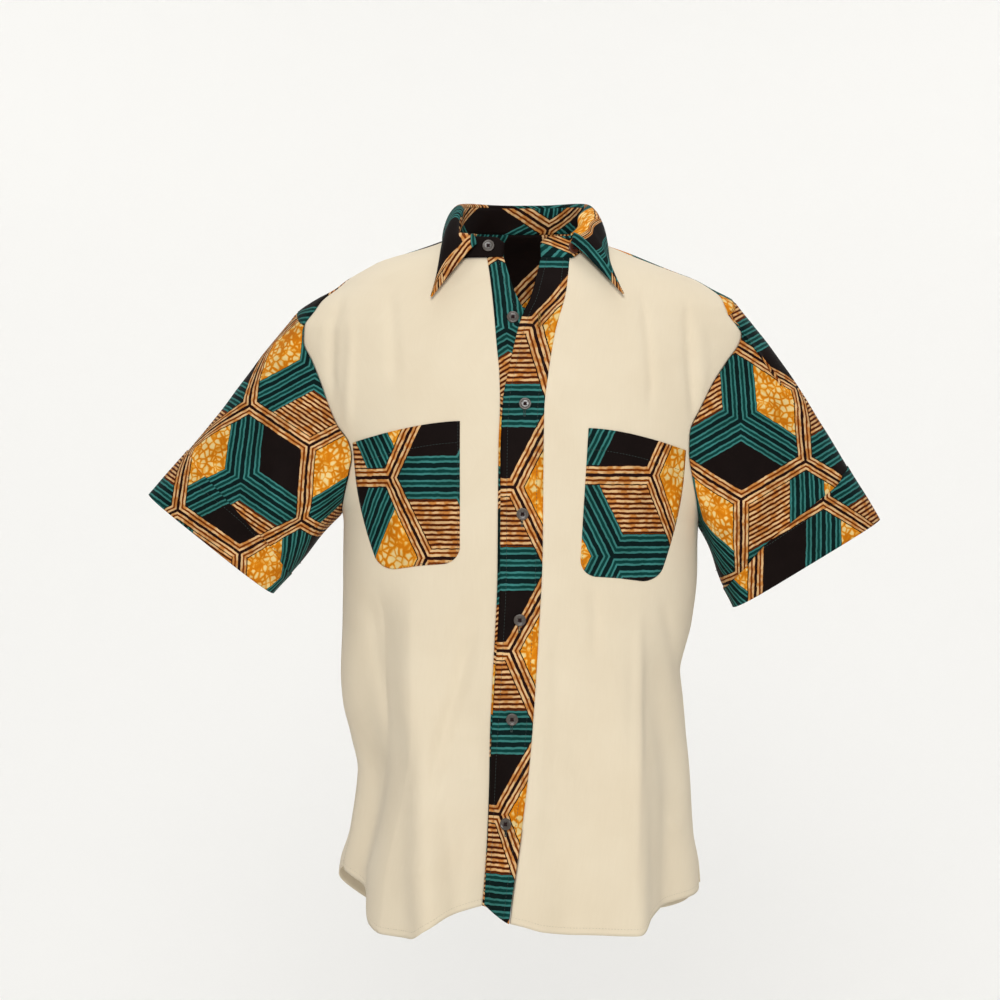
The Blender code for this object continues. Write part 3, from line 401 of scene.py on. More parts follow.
# Where each printed piece lies on the repeat: a hexagon's centre on the piece,
# the way its first arm points, whether the cloth's other side shows, and the stretch
Chart = namedtuple("Chart", "x z turn mirrored stretch_x stretch_z")
CHARTS = {
    "sleeve_left": Chart(228, -180, 210, True, 0.98, 0.98),
    "sleeve_right": Chart(-292, -242, 326, True, 0.95, 0.95),
    "sleeve_hem_left": Chart(316, -345, 210, False, 0.98, 0.98),
    "sleeve_hem_right": Chart(-288, -238, 326, False, 0.95, 0.95),
    "pocket_left": Chart(93, -320, 0, False, 1.0, 1.13),
    "pocket_right": Chart(-55, -240, 180, False, 1.0, 1.13),
    "band_outer": Chart(-28, -333, 0, False, 1.0, 1.14),
    "band_under": Chart(11, -89, 210, False, 1.0, 1.0),
    "yoke": Chart(100, 31, 78, False, 1.0, 1.0),
    "collar_stand": Chart(-42, 85, 31, True, 1.0, 1.0),
    "collar_leaf": Chart(105, -104, 253, False, 1.0, 1.0),
    "facing_right": Chart(46, 8, 90, False, 1.0, 1.0),
    "facing_left": Chart(8, -8, 90, False, 1.0, 1.0),
}

# Names of the two cloths, and what they are made of
PLAIN = "cream_cotton"
PRINTED = "wax_print"
CLOTHS = {PLAIN: "unbleached_cotton_calico", PRINTED: "wax_printed_cotton"}
DOUBLED = ("band_outer", "band_under", "collar_stand", "collar_leaf")  # two layers of cloth

# Where each button sits, and on which band
Button = namedtuple("Button", "name x z on")
BUTTONS = (
    Button("button_1", -8.8, -76.0, "band_under"),
    Button("button_2", 3.4, -165.5, "band_outer"),
    Button("button_3", 0.8, -277.2, "band_outer"),
    Button("button_4", -1.9, -384.7, "band_outer"),
    Button("button_5", -9.8, -485.6, "band_outer"),
    Button("button_6", -15.4, -591.6, "band_outer"),
)
# The share is how far up the stand the button sits
StandButton = namedtuple("StandButton", "name x share")
STAND_BUTTONS = (
    StandButton("button_stand", -34.9, 0.55),
    StandButton("button_under_collar", 54.6, 0.42),
)
TOP_BUTTONHOLE = (18.4, -78.5)
BUTTONHOLE_SHIFT = -0.5  # from its button, in x
BUTTONHOLE_DROP = -5.0  # from its button, in z
BUTTONHOLE_WIDTH = 2.6
SLIT_HALF = 0.25
PURL_PITCH = 0.45
BAR_STITCHES = 5
BAR_LENGTH = 1.2

# Share of the button's radius, then height in millimetres
BUTTON_PROFILE = (
    (0.86, 0.0), (0.97, 0.35), (1.0, 1.0), (0.985, 1.7), (0.93, 2.1), (0.85, 2.2), (0.76, 2.12),
    (0.69, 1.8), (0.64, 1.62), (0.57, 1.58),
)
BUTTON_TURNS = 48
SPOKE_SHARES = (0.33, 0.66)
HOLE_RADIUS = 1.05
HOLE_OFF = 2.15
HOLE_DEPTH = 1.0
HOLE_EDGE = 0.05
STRAND_RADIUS = 0.36
STRAND_SPREAD = 0.4284
STRAND_FOOT = 1.5
STRAND_RISE = 0.65
STITCH_RADIUS = 0.22
PURL_RADIUS = 0.24
PURL_LIFT = 0.05
BAR_GAP = 0.1
ROD_SHOULDERS = (0.2, 0.8)  # where along a rod its points begin and end
SHARP_ANGLE = 50.0

# How far inside their edges the rows of stitches run
HEM_STITCHES = 7.0
SEAM_STITCHES = 2.5
BAND_STITCHES = 6.5
POCKET_STITCHES = {"first": 2.0, "last": 2.0, "bottom": 2.0, "top": 22.0}
SLEEVE_STITCHES = SLEEVE_HEM_DEPTH - 3.0


def mix(a, b, share):
    return a + (b - a) * share


def ease(share):
    share = np.clip(share, 0.0, 1.0)
    return share * share * (3.0 - 2.0 * share)


def through(points):
    """A smooth function through (position, value) points that never overshoots them."""
    at_points, values = np.array(sorted(points), float).T
    steps = np.diff(at_points)
    rises = np.diff(values) / steps
    same_way = rises[:-1] * rises[1:] > 0
    total = np.where(same_way, rises[:-1] + rises[1:], 1.0)
    inner = np.where(same_way, 2 * rises[:-1] * rises[1:] / total, 0.0)
    slopes = np.concatenate([rises[:1], inner, rises[-1:]])

    def value(at):
        at = np.clip(at, at_points[0], at_points[-1])
        i = np.clip(np.searchsorted(at_points, at, side="right") - 1, 0, len(steps) - 1)
        s = (at - at_points[i]) / steps[i]
        low = values[i] * (1 + 2 * s) * (1 - s) ** 2
        high = values[i + 1] * s * s * (3 - 2 * s)
        low_slope = slopes[i] * steps[i] * s * (1 - s) ** 2
        high_slope = slopes[i + 1] * steps[i] * s * s * (s - 1)
        return low + high + low_slope + high_slope

    return value


def column_of(rows, value):
    """A smooth function through one column of a table, by its first column."""
    return through([(row[0], getattr(row, value)) for row in rows])


SECTION_VALUES = [column_of(SECTIONS, name) for name in Section._fields[1:]]
LEAF_EDGE_VALUES = [column_of(LEAF_EDGE, name) for name in LeafEdge._fields[1:]]
NECK_Z = through(NECK_SEAM)
LEFT_HEM_Z = through(LEFT_FRONT_HEM)
RIGHT_HEM_Z = through(RIGHT_FRONT_HEM)
OUTER_RIGHT_X = through(OUTER_BAND_RIGHT)
OUTER_LEFT_X = through(OUTER_BAND_LEFT)
UNDER_LEFT_X = through(UNDER_BAND_LEFT)
UNDER_RIGHT_X = through(UNDER_BAND_RIGHT)


# The body form


def section(z):
    """Middle x, half width, front depth, back depth and squareness at a height."""
    left, right, front, back, square = (value(z) for value in SECTION_VALUES)
    return (left + right) / 2, (right - left) / 2, front, back, square


def fold_height(angle, z):
    """How far the folds move the cloth out at these places."""
    total = np.zeros(np.broadcast(angle, z).shape)
    for fold in FOLDS:
        down = (fold.top_z - z) / (fold.top_z - fold.bottom_z)
        middle = mix(fold.top_angle, fold.bottom_angle, np.clip(down, 0.0, 1.0))
        off = (angle - middle + 180.0) % 360.0 - 180.0
        total = total + fold.height * ease(down) * np.exp(-((off / fold.width) ** 2))
    return total


def on_body(angle, z):
    """The middle of the cloth at angles round the body and heights."""
    angle, z = np.broadcast_arrays(np.asarray(angle, float), np.asarray(z, float))
    middle, half, front, back, square = section(z)
    sine = np.sin(np.radians(angle))
    cosine = np.cos(np.radians(angle))
    depth = np.where(cosine > 0, front, back)
    reach = (np.abs(sine) / half) ** square + (np.abs(cosine) / depth) ** square
    radius = reach ** (-1.0 / square) + fold_height(angle, z)
    return np.stack([middle + radius * sine, -radius * cosine, z], axis=-1)


def angle_at(x, z, behind=False):
    """The angle where the form has this x at this height, in front or behind."""
    middle, half, front, back, square = section(z)
    share = np.minimum(np.abs(x - middle) / half, 1.0)
    depth = (back if behind else front) * (1.0 - share**square) ** (1.0 / square)
    return np.degrees(np.arctan2(x - middle, -depth if behind else depth))


def path_height(x, z, path, width, height):
    """A fold's height at these places: full along its path, fading at its ends."""
    points = np.array(path, float)
    before = lengths_of(points)
    lengths = np.diff(before)
    nearest = np.full(np.shape(x), 1e9)
    along = np.zeros(np.shape(x))
    for a, b, length, start in zip(points, points[1:], lengths, before):
        way = (b - a) / length
        reach = np.clip((x - a[0]) * way[0] + (z - a[1]) * way[1], 0.0, length)
        off = np.hypot(x - a[0] - way[0] * reach, z - a[1] - way[1] * reach)
        along = np.where(off < nearest, start + reach, along)
        nearest = np.minimum(nearest, off)
    share = along / before[-1]
    fade = ease(share / CREASE_FADE) * ease((1 - share) / CREASE_FADE)
    return height * fade * np.exp(-((nearest / width) ** 2))


def crease_height(x, z):
    """How far the creases move the cloth of the front out, seen from the front."""
    parts = [path_height(x, z, *crease) for crease in CREASES]
    return np.sum(parts, axis=0)


def pleat_height(x, z):
    """How far the pleats lie behind the even front, seen from the front."""
    total = np.zeros(np.shape(x))
    for pleat in PLEATS:
        ridge = np.array(pleat.ridge, float)[::-1]
        off = (x - np.interp(z, ridge[:, 1], ridge[:, 0])) / pleat.valley
        far = pleat.end / pleat.valley
        straight = np.clip(off, 0.0, 1.0) - np.clip((off - 1.0) / (far - 1.0), 0.0, 1.0)
        straight = np.clip(straight, 0.0, 1.0)
        fade = ease((ridge[-1, 1] - z) / PLEAT_FADE)
        total -= pleat.depth * mix(straight, ease(straight), PLEAT_ROUND) * fade
    return total


def ripple(x, z):
    """The cloth's gentle unevenness, a sum of long waves with set phases."""
    parts = [w.height * np.sin(x * w.across + z * w.up + w.phase) for w in WAVES]
    return np.sum(parts, axis=0)


def front_shape(points, share=1.0):
    """Creases and ripples, as a distance that the cloth in front moves out."""
    x, z = points[..., 0], points[..., 2]
    # The cloth is held still along its seams with the bands and at its sides
    left_edge = UNDER_LEFT_X(z) - x
    right_edge = x - OUTER_RIGHT_X(z)
    free = ease(np.maximum(left_edge, right_edge) / BAND_SEAM_FADE)
    sides = ease(-points[..., 1] / SIDE_FADE)
    pleats = pleat_height(x, z) * sides
    return (crease_height(x, z) + ripple(x, z) + pleats) * free * share


def grid_normals(points, flip=1.0):
    """Directions square to a grid of points."""
    across, up = np.gradient(points, axis=1), np.gradient(points, axis=0)
    normals = np.cross(across, up) * flip
    return normals / np.maximum(np.linalg.norm(normals, axis=2, keepdims=True), 1e-9)


def band_lift(z):
    """How far the buttonhole band stands off the form at a height."""
    return OUTER_BAND_LIFT * ease((LIFT_TOP_Z - z) / (LIFT_TOP_Z - LIFT_FULL_Z))


def front_lift(points):
    """How far a front stands off the form: the left one comes down from its band."""
    away = points[..., 0] - OUTER_RIGHT_X(points[..., 2])
    lift = band_lift(points[..., 2]) * (1 - ease(away / LIFT_FADE))
    return np.where((points[..., 0] < 0.0) & (away < 0.0), 0.0, lift)


# Places of the pieces on the form


def armhole_heights(side):
    """Heights from the underarm to the shoulder corner, then on along the shoulder seam."""
    arm = np.linspace(side.underarm_z, side.corner_z, ARM_ROWS + 1)
    neck = float(NECK_Z(YOKE_NECK_ANGLE))
    shoulder = np.linspace(side.corner_z, neck, SHOULDER_ROWS + 1)[1:]
    return arm, shoulder


def front_edge_angle(side, z):
    """Where the front ends at these heights: side seam, armhole or shoulder seam."""
    x = through(side.front_armhole)(z)
    armhole = angle_at(side.sign * x, z)
    seam = side.sign * through(side.shoulder_seam)(z)
    return np.where(
        z > side.corner_z, seam, np.where(z <= side.underarm_z, 90.0 * side.sign, armhole)
    )


def back_edge_angle(side, z):
    """Where the back ends at these heights: side seam or armhole."""
    x = through(side.back_armhole)(z)
    armhole = angle_at(side.sign * x, z, behind=True)
    return np.where(z <= side.underarm_z, 90.0 * side.sign, armhole)


def front_places(side, inner_x, hem_z):
    """Angles and heights of a front, from its band seam out to its side."""
    across = np.linspace(0.0, 1.0, FRONT_COLUMNS + 1)
    ups = np.linspace(0.0, 1.0, HEM_ROWS + 1)[:, None]
    seam_z = mix(side.hem_z, side.underarm_z, ups)
    guess = angle_at(inner_x(seam_z), seam_z)
    inner_z = mix(hem_z(guess), side.underarm_z, ups)
    inner_angle = angle_at(inner_x(inner_z), inner_z)
    low_angle = mix(inner_angle, 90.0 * side.sign, across)
    low_z = mix(hem_z(low_angle), side.underarm_z, ups)
    low_z[:, :1] = inner_z
    low_z[:, -1:] = seam_z

    arm, shoulder = armhole_heights(side)
    outer_z = np.concatenate([arm[1:], shoulder])[:, None]
    neck_z = outer_z[-1, 0]
    up = (outer_z - side.underarm_z) / (neck_z - side.underarm_z)
    neck_inner = angle_at(inner_x(NECK_Z(0)), NECK_Z(0))
    neck_outer = front_edge_angle(side, neck_z)
    top = NECK_Z(np.abs(mix(neck_inner, neck_outer, across)))
    high_z = mix(side.underarm_z, top, up)
    high_angle = mix(angle_at(inner_x(high_z), high_z), front_edge_angle(side, outer_z), across)
    high_z[:, -1:] = outer_z
    return np.concatenate([low_angle, high_angle]), np.concatenate([low_z, high_z])


def back_hem_z(angle):
    """Height of the back's hem, which falls from the side seams to its tail."""
    side_z = np.where(angle < 180.0, LEFT.hem_z, RIGHT.hem_z)
    from_side = 90.0 - np.abs(180.0 - angle)
    return mix(side_z, BACK_HEM_Z, ease(from_side / BACK_TAIL_ANGLE))


def seam_places(side):
    """The back's edge: up the side seam, then up the back of the armhole."""
    low = np.linspace(side.hem_z, side.underarm_z, HEM_ROWS + 1)
    high = np.linspace(side.underarm_z, YOKE_BACK_Z, ARM_ROWS + 1)[1:]
    z = np.concatenate([low, high])
    return back_edge_angle(side, z), z


def back_places():
    """Angles and heights of the back, from the left side round behind to the right side."""
    left_angle, left_z = (column[:, None] for column in seam_places(LEFT))
    right_angle, right_z = (column[:, None] for column in seam_places(RIGHT))
    across = np.linspace(0.0, 1.0, BACK_COLUMNS + 1)
    angle = mix(left_angle, 360.0 + right_angle, across)
    z = mix(left_z, right_z, ease(across))
    low = slice(0, HEM_ROWS + 1)
    underarm = mix(LEFT.underarm_z, RIGHT.underarm_z, ease(across))
    up = np.linspace(0.0, 1.0, HEM_ROWS + 1)[:, None]
    z[low] = mix(back_hem_z(angle[low]), underarm, up)
    z[:, :1] = left_z
    z[:, -1:] = right_z
    return angle, z


def tip_places(side):
    """The yoke's armhole edge, from the shoulder seam over the ridge to the back seam."""
    front_angle = abs(float(front_edge_angle(side, side.corner_z)))
    back_angle = abs(float(back_edge_angle(side, YOKE_BACK_Z)))
    share = np.linspace(0.0, 1.0, TIP_COLUMNS + 1)
    before = mix(front_angle, 90.0, share**TIP_SPREAD)
    before_z = mix(side.ridge_z, side.corner_z, (1 - share) ** TIP_ROUND)
    behind = mix(90.0, back_angle, share ** (1 / TIP_SPREAD))[1:]
    behind_z = mix(side.ridge_z, YOKE_BACK_Z, share**TIP_ROUND)[1:]
    return np.concatenate([before, behind]), np.concatenate([before_z, behind_z])


def yoke_places():
    """Angles and heights of the yoke, from the left shoulder seam round to the right one."""
    left_angle, left_z = tip_places(LEFT)
    right_angle, right_z = (column[::-1] for column in tip_places(RIGHT))
    right_angle = 360.0 - right_angle
    middle = np.linspace(left_angle[-1], right_angle[0], YOKE_BACK_COLUMNS + 1)[1:-1]
    low_angle = np.concatenate([left_angle, middle, right_angle])
    low_z = np.concatenate([left_z, np.full(len(middle), YOKE_BACK_Z), right_z])
    across = (low_angle - low_angle[0]) / (low_angle[-1] - low_angle[0])
    top_angle = mix(YOKE_NECK_ANGLE, 360.0 - YOKE_NECK_ANGLE, across)
    top_z = NECK_Z(180.0 - np.abs(180.0 - top_angle))
    up = np.linspace(0.0, 1.0, SHOULDER_ROWS + 1)[:, None]
    angle = mix(low_angle, top_angle, up)
    z = mix(low_z, top_z, up)
    # Each end of a row is moved on to its shoulder seam, and the tip with it
    reach = 2 * TIP_COLUMNS
    fade = 1 - ease(np.arange(reach) / reach)
    # A row at the corner's own height counts as the shoulder's, not as the armhole's
    just_above = 0.001
    for side, columns in ((LEFT, np.arange(reach)), (RIGHT, -1 - np.arange(reach))):
        end_z = z[:, columns[0]] + just_above
        seam = front_edge_angle(side, end_z) % 360.0
        shift = seam - angle[:, columns[0]]
        angle[:, columns] += shift[:, None] * fade
    return angle, z


def lengths_of(points):
    """Distance from the first of a line of points, measured along it."""
    steps = np.linalg.norm(np.diff(points, axis=0), axis=1)
    return np.concatenate([[0.0], np.cumsum(steps)])


def lengths_along(points, axis):
    """Distance from the first row or column of a grid, measured along the cloth."""
    steps = np.linalg.norm(np.diff(points, axis=axis), axis=2)
    first = np.zeros_like(steps[:1] if axis == 0 else steps[:, :1])
    return np.concatenate([first, np.cumsum(steps, axis=axis)], axis=axis)


def sew_in(points, normals, edges):
    """Sinks the named edges of a grid, as a sewn seam draws the cloth in."""
    places = {
        "first": points[:, :1],
        "last": points[:, -1:],
        "bottom": points[:1],
        "top": points[-1:],
    }
    sink = np.zeros(points.shape[:2])
    for edge in edges:
        off = np.linalg.norm(points - places[edge], axis=2)
        sink = np.maximum(sink, np.exp(-((off / SEAM_WIDTH) ** 2)))
    return points - normals * (SEAM_DEPTH * sink)[..., None]


def armhole_ring(side):
    """Seam points round the armhole, from under the arm up the front and down the back."""
    tip_angle, tip_z = tip_places(side)
    arm, _ = armhole_heights(side)
    front = on_body(front_edge_angle(side, arm[:-1]), arm[:-1])
    front_tip = on_body(side.sign * tip_angle[: TIP_COLUMNS + 1], tip_z[: TIP_COLUMNS + 1])
    back_tip = on_body(side.sign * tip_angle[TIP_COLUMNS + 1 :], tip_z[TIP_COLUMNS + 1 :])
    back_z = np.linspace(side.underarm_z, YOKE_BACK_Z, ARM_ROWS + 1)[:-1]
    back = on_body(back_edge_angle(side, back_z), back_z)[::-1]
    ring = np.concatenate([front, front_tip, back_tip, back])
    return ring, len(front) + TIP_COLUMNS


def sleeve_turns(ring, ridge):
    """How far round each seam point is: -180 under the arm, 0 on the ridge, 180 under again."""
    lengths = lengths_of(ring)
    front = -180.0 * (1 - lengths[: ridge + 1] / lengths[ridge])
    behind = 180.0 * (lengths[ridge + 1 :] - lengths[ridge]) / (lengths[-1] - lengths[ridge])
    return np.concatenate([front, behind])


def cuff_ends(side):
    """The outer and the inner end of the sleeve's opening."""
    return [np.array([side.sign * x, 0.0, z]) for x, z in (side.cuff_outer, side.cuff_inner)]


def sleeve_points(side):
    """A grid of the sleeve, from the armhole to its end. Turns below 0 are in front."""
    ring, ridge = armhole_ring(side)
    turn = sleeve_turns(ring, ridge)
    cosine = np.cos(np.radians(turn))
    front = -np.sin(np.radians(turn))
    outer, inner = cuff_ends(side)
    centre = (outer + inner) / 2
    ends = centre + (outer - centre) * cosine[:, None]
    ends[:, 1] = -CUFF_DEPTH / 2 * front
    ends[:, 2] += CUFF_BACK_DROP * (front - 1) / 2 * np.abs(front)
    along = np.linspace(0.0, 1.0, SLEEVE_ROWS + 1)[:, None]
    low = (1 - cosine) / 2
    points = mix(ring[None], ends[None], along[..., None])
    swell = np.sin(np.pi * along)
    puff = side.cap_puff * swell * (1 - low)
    points[..., 0] += side.sign * CAP_PUFF_OUT * puff
    points[..., 2] += CAP_PUFF_UP * puff
    points[..., 1] -= SLEEVE_FULLNESS * swell * front
    return points, turn


def sleeve_relief(points, turn, side):
    """Folds on the sleeve, fading to its seam, its end and its other side."""
    x, z = points[..., 0], points[..., 2]
    turn = np.radians(turn)
    in_front = ease(-np.sin(turn) * FRONT_SHARPNESS)
    along = np.linspace(0.0, 1.0, len(points))[:, None]
    to_hem = ease((along - 1.0 + SLEEVE_HEM_SHARE) / SLEEVE_HEM_SHARE)
    held = ease(along / SLEEVE_SEAM_SHARE) * mix(1.0, SLEEVE_HEM_LOOSE, to_hem)
    folds = [path_height(x, z, *rest) for sign, *rest in SLEEVE_FOLDS if sign == side.sign]
    behind = BEHIND_WAVES * np.sin(along * BEHIND_WAVES_ALONG + turn * BEHIND_WAVES_ROUND)
    wave_x = x * SLEEVE_WAVE_STRETCH + side.sign * SLEEVE_WAVE_SHIFT
    loose = SLEEVE_WAVES * ripple(wave_x, z * SLEEVE_WAVE_STRETCH)
    return (mix(behind, np.sum(folds, axis=0), in_front) + loose) * held


def sleeve_flat(points, turn, side):
    """Flat places of the sleeve: its front as it is seen, unrolled over its ridge and back."""
    outer, inner = cuff_ends(side)
    rim = (outer - inner) / np.linalg.norm(outer - inner)
    axis = np.array([rim[2], 0.0, -rim[0]])
    if axis[2] > 0:
        axis = -axis
    along = points @ axis
    steps = np.diff(points, axis=1)
    lengthwise = steps @ axis
    sideways = np.sqrt(np.maximum((steps**2).sum(axis=2) - lengthwise**2, 0.0))
    out = np.concatenate([np.zeros((len(points), 1)), np.cumsum(sideways, axis=1)], axis=1)
    middle = int(np.argmin(np.abs(turn + 90.0)))
    out = out - out[:, middle : middle + 1] + (points[:, middle : middle + 1] @ rim)
    return along[..., None] * axis[[0, 2]] + out[..., None] * rim[[0, 2]]


def stand_lines(angles):
    """Foot and top of the stand at angles round the neck, and the way out from it."""
    around = np.abs((angles + 180.0) % 360.0 - 180.0)
    foot = on_body(angles, NECK_Z(around))
    height = mix(STAND_FRONT_HEIGHT, STAND_BACK_HEIGHT, ease(around / STAND_FULL_ANGLE))
    inward = np.array([STAND_CENTRE_X, 0.0, 0.0]) - foot
    inward[:, 2] = 0.0
    inward /= np.linalg.norm(inward, axis=1, keepdims=True)
    top = foot + inward * STAND_LEAN
    top[:, 2] += height
    return foot, top, -inward


def neck_angles():
    """Angles round the neck, from the button band behind to the buttonhole band."""
    z = float(NECK_Z(0))
    start = float(angle_at(UNDER_RIGHT_X(z), z))
    end = float(angle_at(OUTER_LEFT_X(z), z)) - 360.0
    return np.linspace(start, end, STAND_COLUMNS + 1)


def leaf_points():
    """A grid of the leaf: up from the stand, over the fold and down to its edge."""
    angles = neck_angles()
    low, high = mix(angles[0], angles[-1], LEAF_START), mix(angles[-1], angles[0], LEAF_START)
    angles = np.linspace(low, high, STAND_COLUMNS + 1)
    turn = np.linspace(0.0, 1.0, STAND_COLUMNS + 1)
    _, start, out = stand_lines(angles)
    edge = np.stack([value(turn) for value in LEAF_EDGE_VALUES], axis=1)
    rise = start + out * LEAF_RISE[0]
    rise[:, 2] += LEAF_RISE[1]
    roll = mix(start, edge, LEAF_ROLL_SHARE) + out * LEAF_ROLL[0]
    roll[:, 2] += LEAF_ROLL[1]
    s = np.linspace(0.0, 1.0, LEAF_ROWS + 1)[:, None, None]
    points = start * (1 - s) ** 3 + rise * 3 * s * (1 - s) ** 2
    return points + roll * 3 * s * s * (1 - s) + edge * s**3


def band_points(edges, lift_at, seam_z, seam_share, free_hem_z):
    """A front band whose rows meet those of its front at the seam edge."""
    left_x, right_x = edges
    height = seam_z[:, None]
    up = (height - height[0]) / (height[-1] - height[0])
    across = np.linspace(0.0, 1.0, BAND_COLUMNS + 1)
    free = mix(free_hem_z, height[-1], up)
    z = mix(height, free, np.abs(across - seam_share))
    angle = angle_at(mix(left_x(z), right_x(z), across), z)
    points = on_body(angle, z)
    normals = grid_normals(points)
    return points + normals * np.broadcast_to(lift_at(height), z.shape)[..., None], normals


def pocket_points(pocket):
    """A patch pocket with round lower corners, lying on its front."""
    height = abs(pocket.inner_bottom_z - pocket.inner_top_z)
    width = abs(pocket.inner_bottom_x - pocket.outer_bottom_x)
    corner = POCKET_CORNER / height
    straight = np.linspace(0.0, 1 - corner, POCKET_ROWS + 1)
    quarter = np.radians(np.linspace(0.0, 90.0, CORNER_ROWS + 1)[1:])
    down = np.concatenate([straight, 1 - corner * (1 - np.sin(quarter))])[::-1, None]
    into_corner = np.maximum(0.0, 1 - (1 - down) / corner)
    cut = POCKET_CORNER * (1 - np.sqrt(np.maximum(0.0, 1 - into_corner**2))) / width
    bow = pocket.bow * np.sin(np.pi * down)
    across = mix(cut, 1 - cut, np.linspace(0.0, 1.0, POCKET_COLUMNS + 1))
    inner_x = mix(pocket.inner_top_x, pocket.inner_bottom_x, down)
    outer_x = mix(pocket.outer_top_x, pocket.outer_bottom_x, down) + bow
    inner_z = mix(pocket.inner_top_z, pocket.inner_bottom_z, down)
    outer_z = mix(pocket.outer_top_z, pocket.outer_bottom_z, down)
    x = mix(inner_x, outer_x, across)
    z = mix(inner_z, outer_z, across**POCKET_TOP_CURVE)
    if pocket.outer_top_x < 0:
        x, z = x[:, ::-1], z[:, ::-1]
    points = on_body(angle_at(x, z), z)
    return points, grid_normals(points)


# Meshes


def make_object(name, vertices, faces, finish, uv=None, edges=False):
    """An object from vertices in millimetres, with a cloth map in metres if uv is given.

    It is shaded smooth, but with edges its sharp ones stay.
    """
    mesh = bpy.data.meshes.new(name)
    mesh.from_pydata((np.asarray(vertices) * MM).tolist(), [], faces)
    if uv is not None:
        layer = mesh.uv_layers.new(name=CLOTH_MAP)
        layer.data.foreach_set("uv", (uv[np.ravel(faces)] * MM).reshape(-1))
    mesh.polygons.foreach_set("use_smooth", [True] * len(mesh.polygons))
    if edges:
        mesh.set_sharp_from_angle(angle=math.radians(SHARP_ANGLE))
    mesh.materials.append(finish_named(finish))
    made = bpy.data.objects.new(name, mesh)
    bpy.context.scene.collection.objects.link(made)
    return made


def grid_faces(rows, columns, flip):
    """Four-sided faces between the points of a grid, turned over by flip."""
    i, j = np.meshgrid(np.arange(rows - 1), np.arange(columns - 1), indexing="ij")
    low = (i * columns + j).reshape(-1)
    faces = np.stack([low, low + 1, low + columns + 1, low + columns], axis=1)
    return (faces[:, ::-1] if flip else faces).tolist()


def cloth_piece(name, points, uv, cloth, thick, flip=False):
    """A sheet of cloth from a grid of middle points, with real thickness."""
    faces = grid_faces(*points.shape[:2], flip)
    made = make_object(name, points.reshape(-1, 3), faces, CLOTHS[cloth], uv.reshape(-1, 2))
    wall = made.modifiers.new("thickness", "SOLIDIFY")
    wall.thickness = thick
    wall.offset = 0.0
    return made


def place(made, slot, *nodes):
    """Hangs a piece on the shirt in place of its solids."""
    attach(made, "root")
    if nodes:
        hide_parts(*nodes)
    return made


def charted(flat, chart):
    """Cloth coordinates of the print, from flat places seen as in the front view."""
    turn = math.radians(-chart.turn)
    x = (flat[..., 0] - chart.x) / chart.stretch_x
    z = (flat[..., 1] - chart.z) / chart.stretch_z
    along = x * math.cos(turn) - z * math.sin(turn)
    up = x * math.sin(turn) + z * math.cos(turn)
    return np.stack([along, -up if chart.mirrored else up], axis=-1)


# Materials

CREAM = "#e3d5bb"
CREAM_DEEP = "#dfd0b5"
CREAM_THREAD = "#d8cbb0"
TEAL_GROUND = "#021c1c"
TEAL_MIDDLE = "#053c38"
TEAL_LINE = "#3b7e79"
WARM_BLACK = "#140b09"
BROWN = "#763402"
DARK_LINE = "#240a05"
ORANGE_LINE = "#cb8744"
CREAM_LINE = "#e8be88"
CRACKLE_DEEP = "#d67c0c"
CRACKLE_ORANGE = "#e08a12"
CRACKLE_LIGHT = "#f0b652"
CRACKLE_PALE = "#f4d896"
THIN_DYE = "#d6d2cc"
WHITE = "#ffffff"
BLACK = "#000000"
BUTTON_GREY = "#453e38"
BUTTON_BROWN = "#4a2416"
MAROON_THREAD = "#260c0c"
OCHRE_THREAD = "#8a6a2c"
DARK_THREAD = "#3b4a47"
FLOOR_PALE = "#f4f3f0"
FLOOR_GRAIN = "#f1f0ed"

# Patterns: sizes in millimetres, shares and factors without a unit
CALICO_THREAD = 0.9
PRINT_THREAD = 0.8
CLOUD_SIZE = 90.0
SLUB_SIZE = 1.6
SLUB_DRAWN_OUT = 0.06  # the noise's scale along the threads, so that slubs are long
SLUB_SHARE = 0.35
SOFT_CREASE_SIZE = 26.0
WOBBLE_SIZE = 7.0
WOBBLE_REACH = 1.6
LIGHT_SIZE = 9.0
CRACKLE_SWAY_SIZE = 14.0
CRACKLE_SWAY = 5.0
CRACKLE_CELL = 6.8
CRACKLE_UNEVEN = 0.55
DYE_BLOT_SIZE = 30.0
HORN_CLOUD_SIZE = 3.0
HORN_LIGHT = 1.5  # times as light as the darkest cloud
PLY_SHADE = 0.7  # what is left of the light between two plies
PAPER_GRAIN = 4.0
TWIST_LENGTH = 1.306

ROOT_3 = math.sqrt(3.0)
# The three arms of a hexagon, in the swapped axes: along, then 120 degrees apart
ARMS = ((0.0, 1.0, 0.0), (ROOT_3 / 2, -0.5, 0.0), (-ROOT_3 / 2, -0.5, 0.0))
# Stripes across half an arm, from its middle line out
ARM_STRIPES = (
    (0.0, TEAL_GROUND),
    (2.2, TEAL_LINE),
    (4.0, TEAL_MIDDLE),
    (6.8, TEAL_LINE),
    (8.6, TEAL_GROUND),
    (13.0, TEAL_LINE),
    (14.8, TEAL_MIDDLE),
    (17.5, TEAL_LINE),
    (19.2, WARM_BLACK),
)
ARM_HALF = 19.8
# Lines across half of the network between the hexagons, from its middle out
BAND_LINES = (
    (0.0, DARK_LINE),
    (1.5, CREAM_LINE),
    (3.7, BROWN),
    (5.7, CREAM_LINE),
    (7.9, DARK_LINE),
)
BAND_HALF = 9.0
PAST_EDGE = 1.0  # the tables above run on this far
STRIPE_PERIOD = 4.4
STRIPE_LIGHT = 0.46  # share of the period
STRIPE_DARK = (0.73, 0.09)  # middle and half width of the dark share

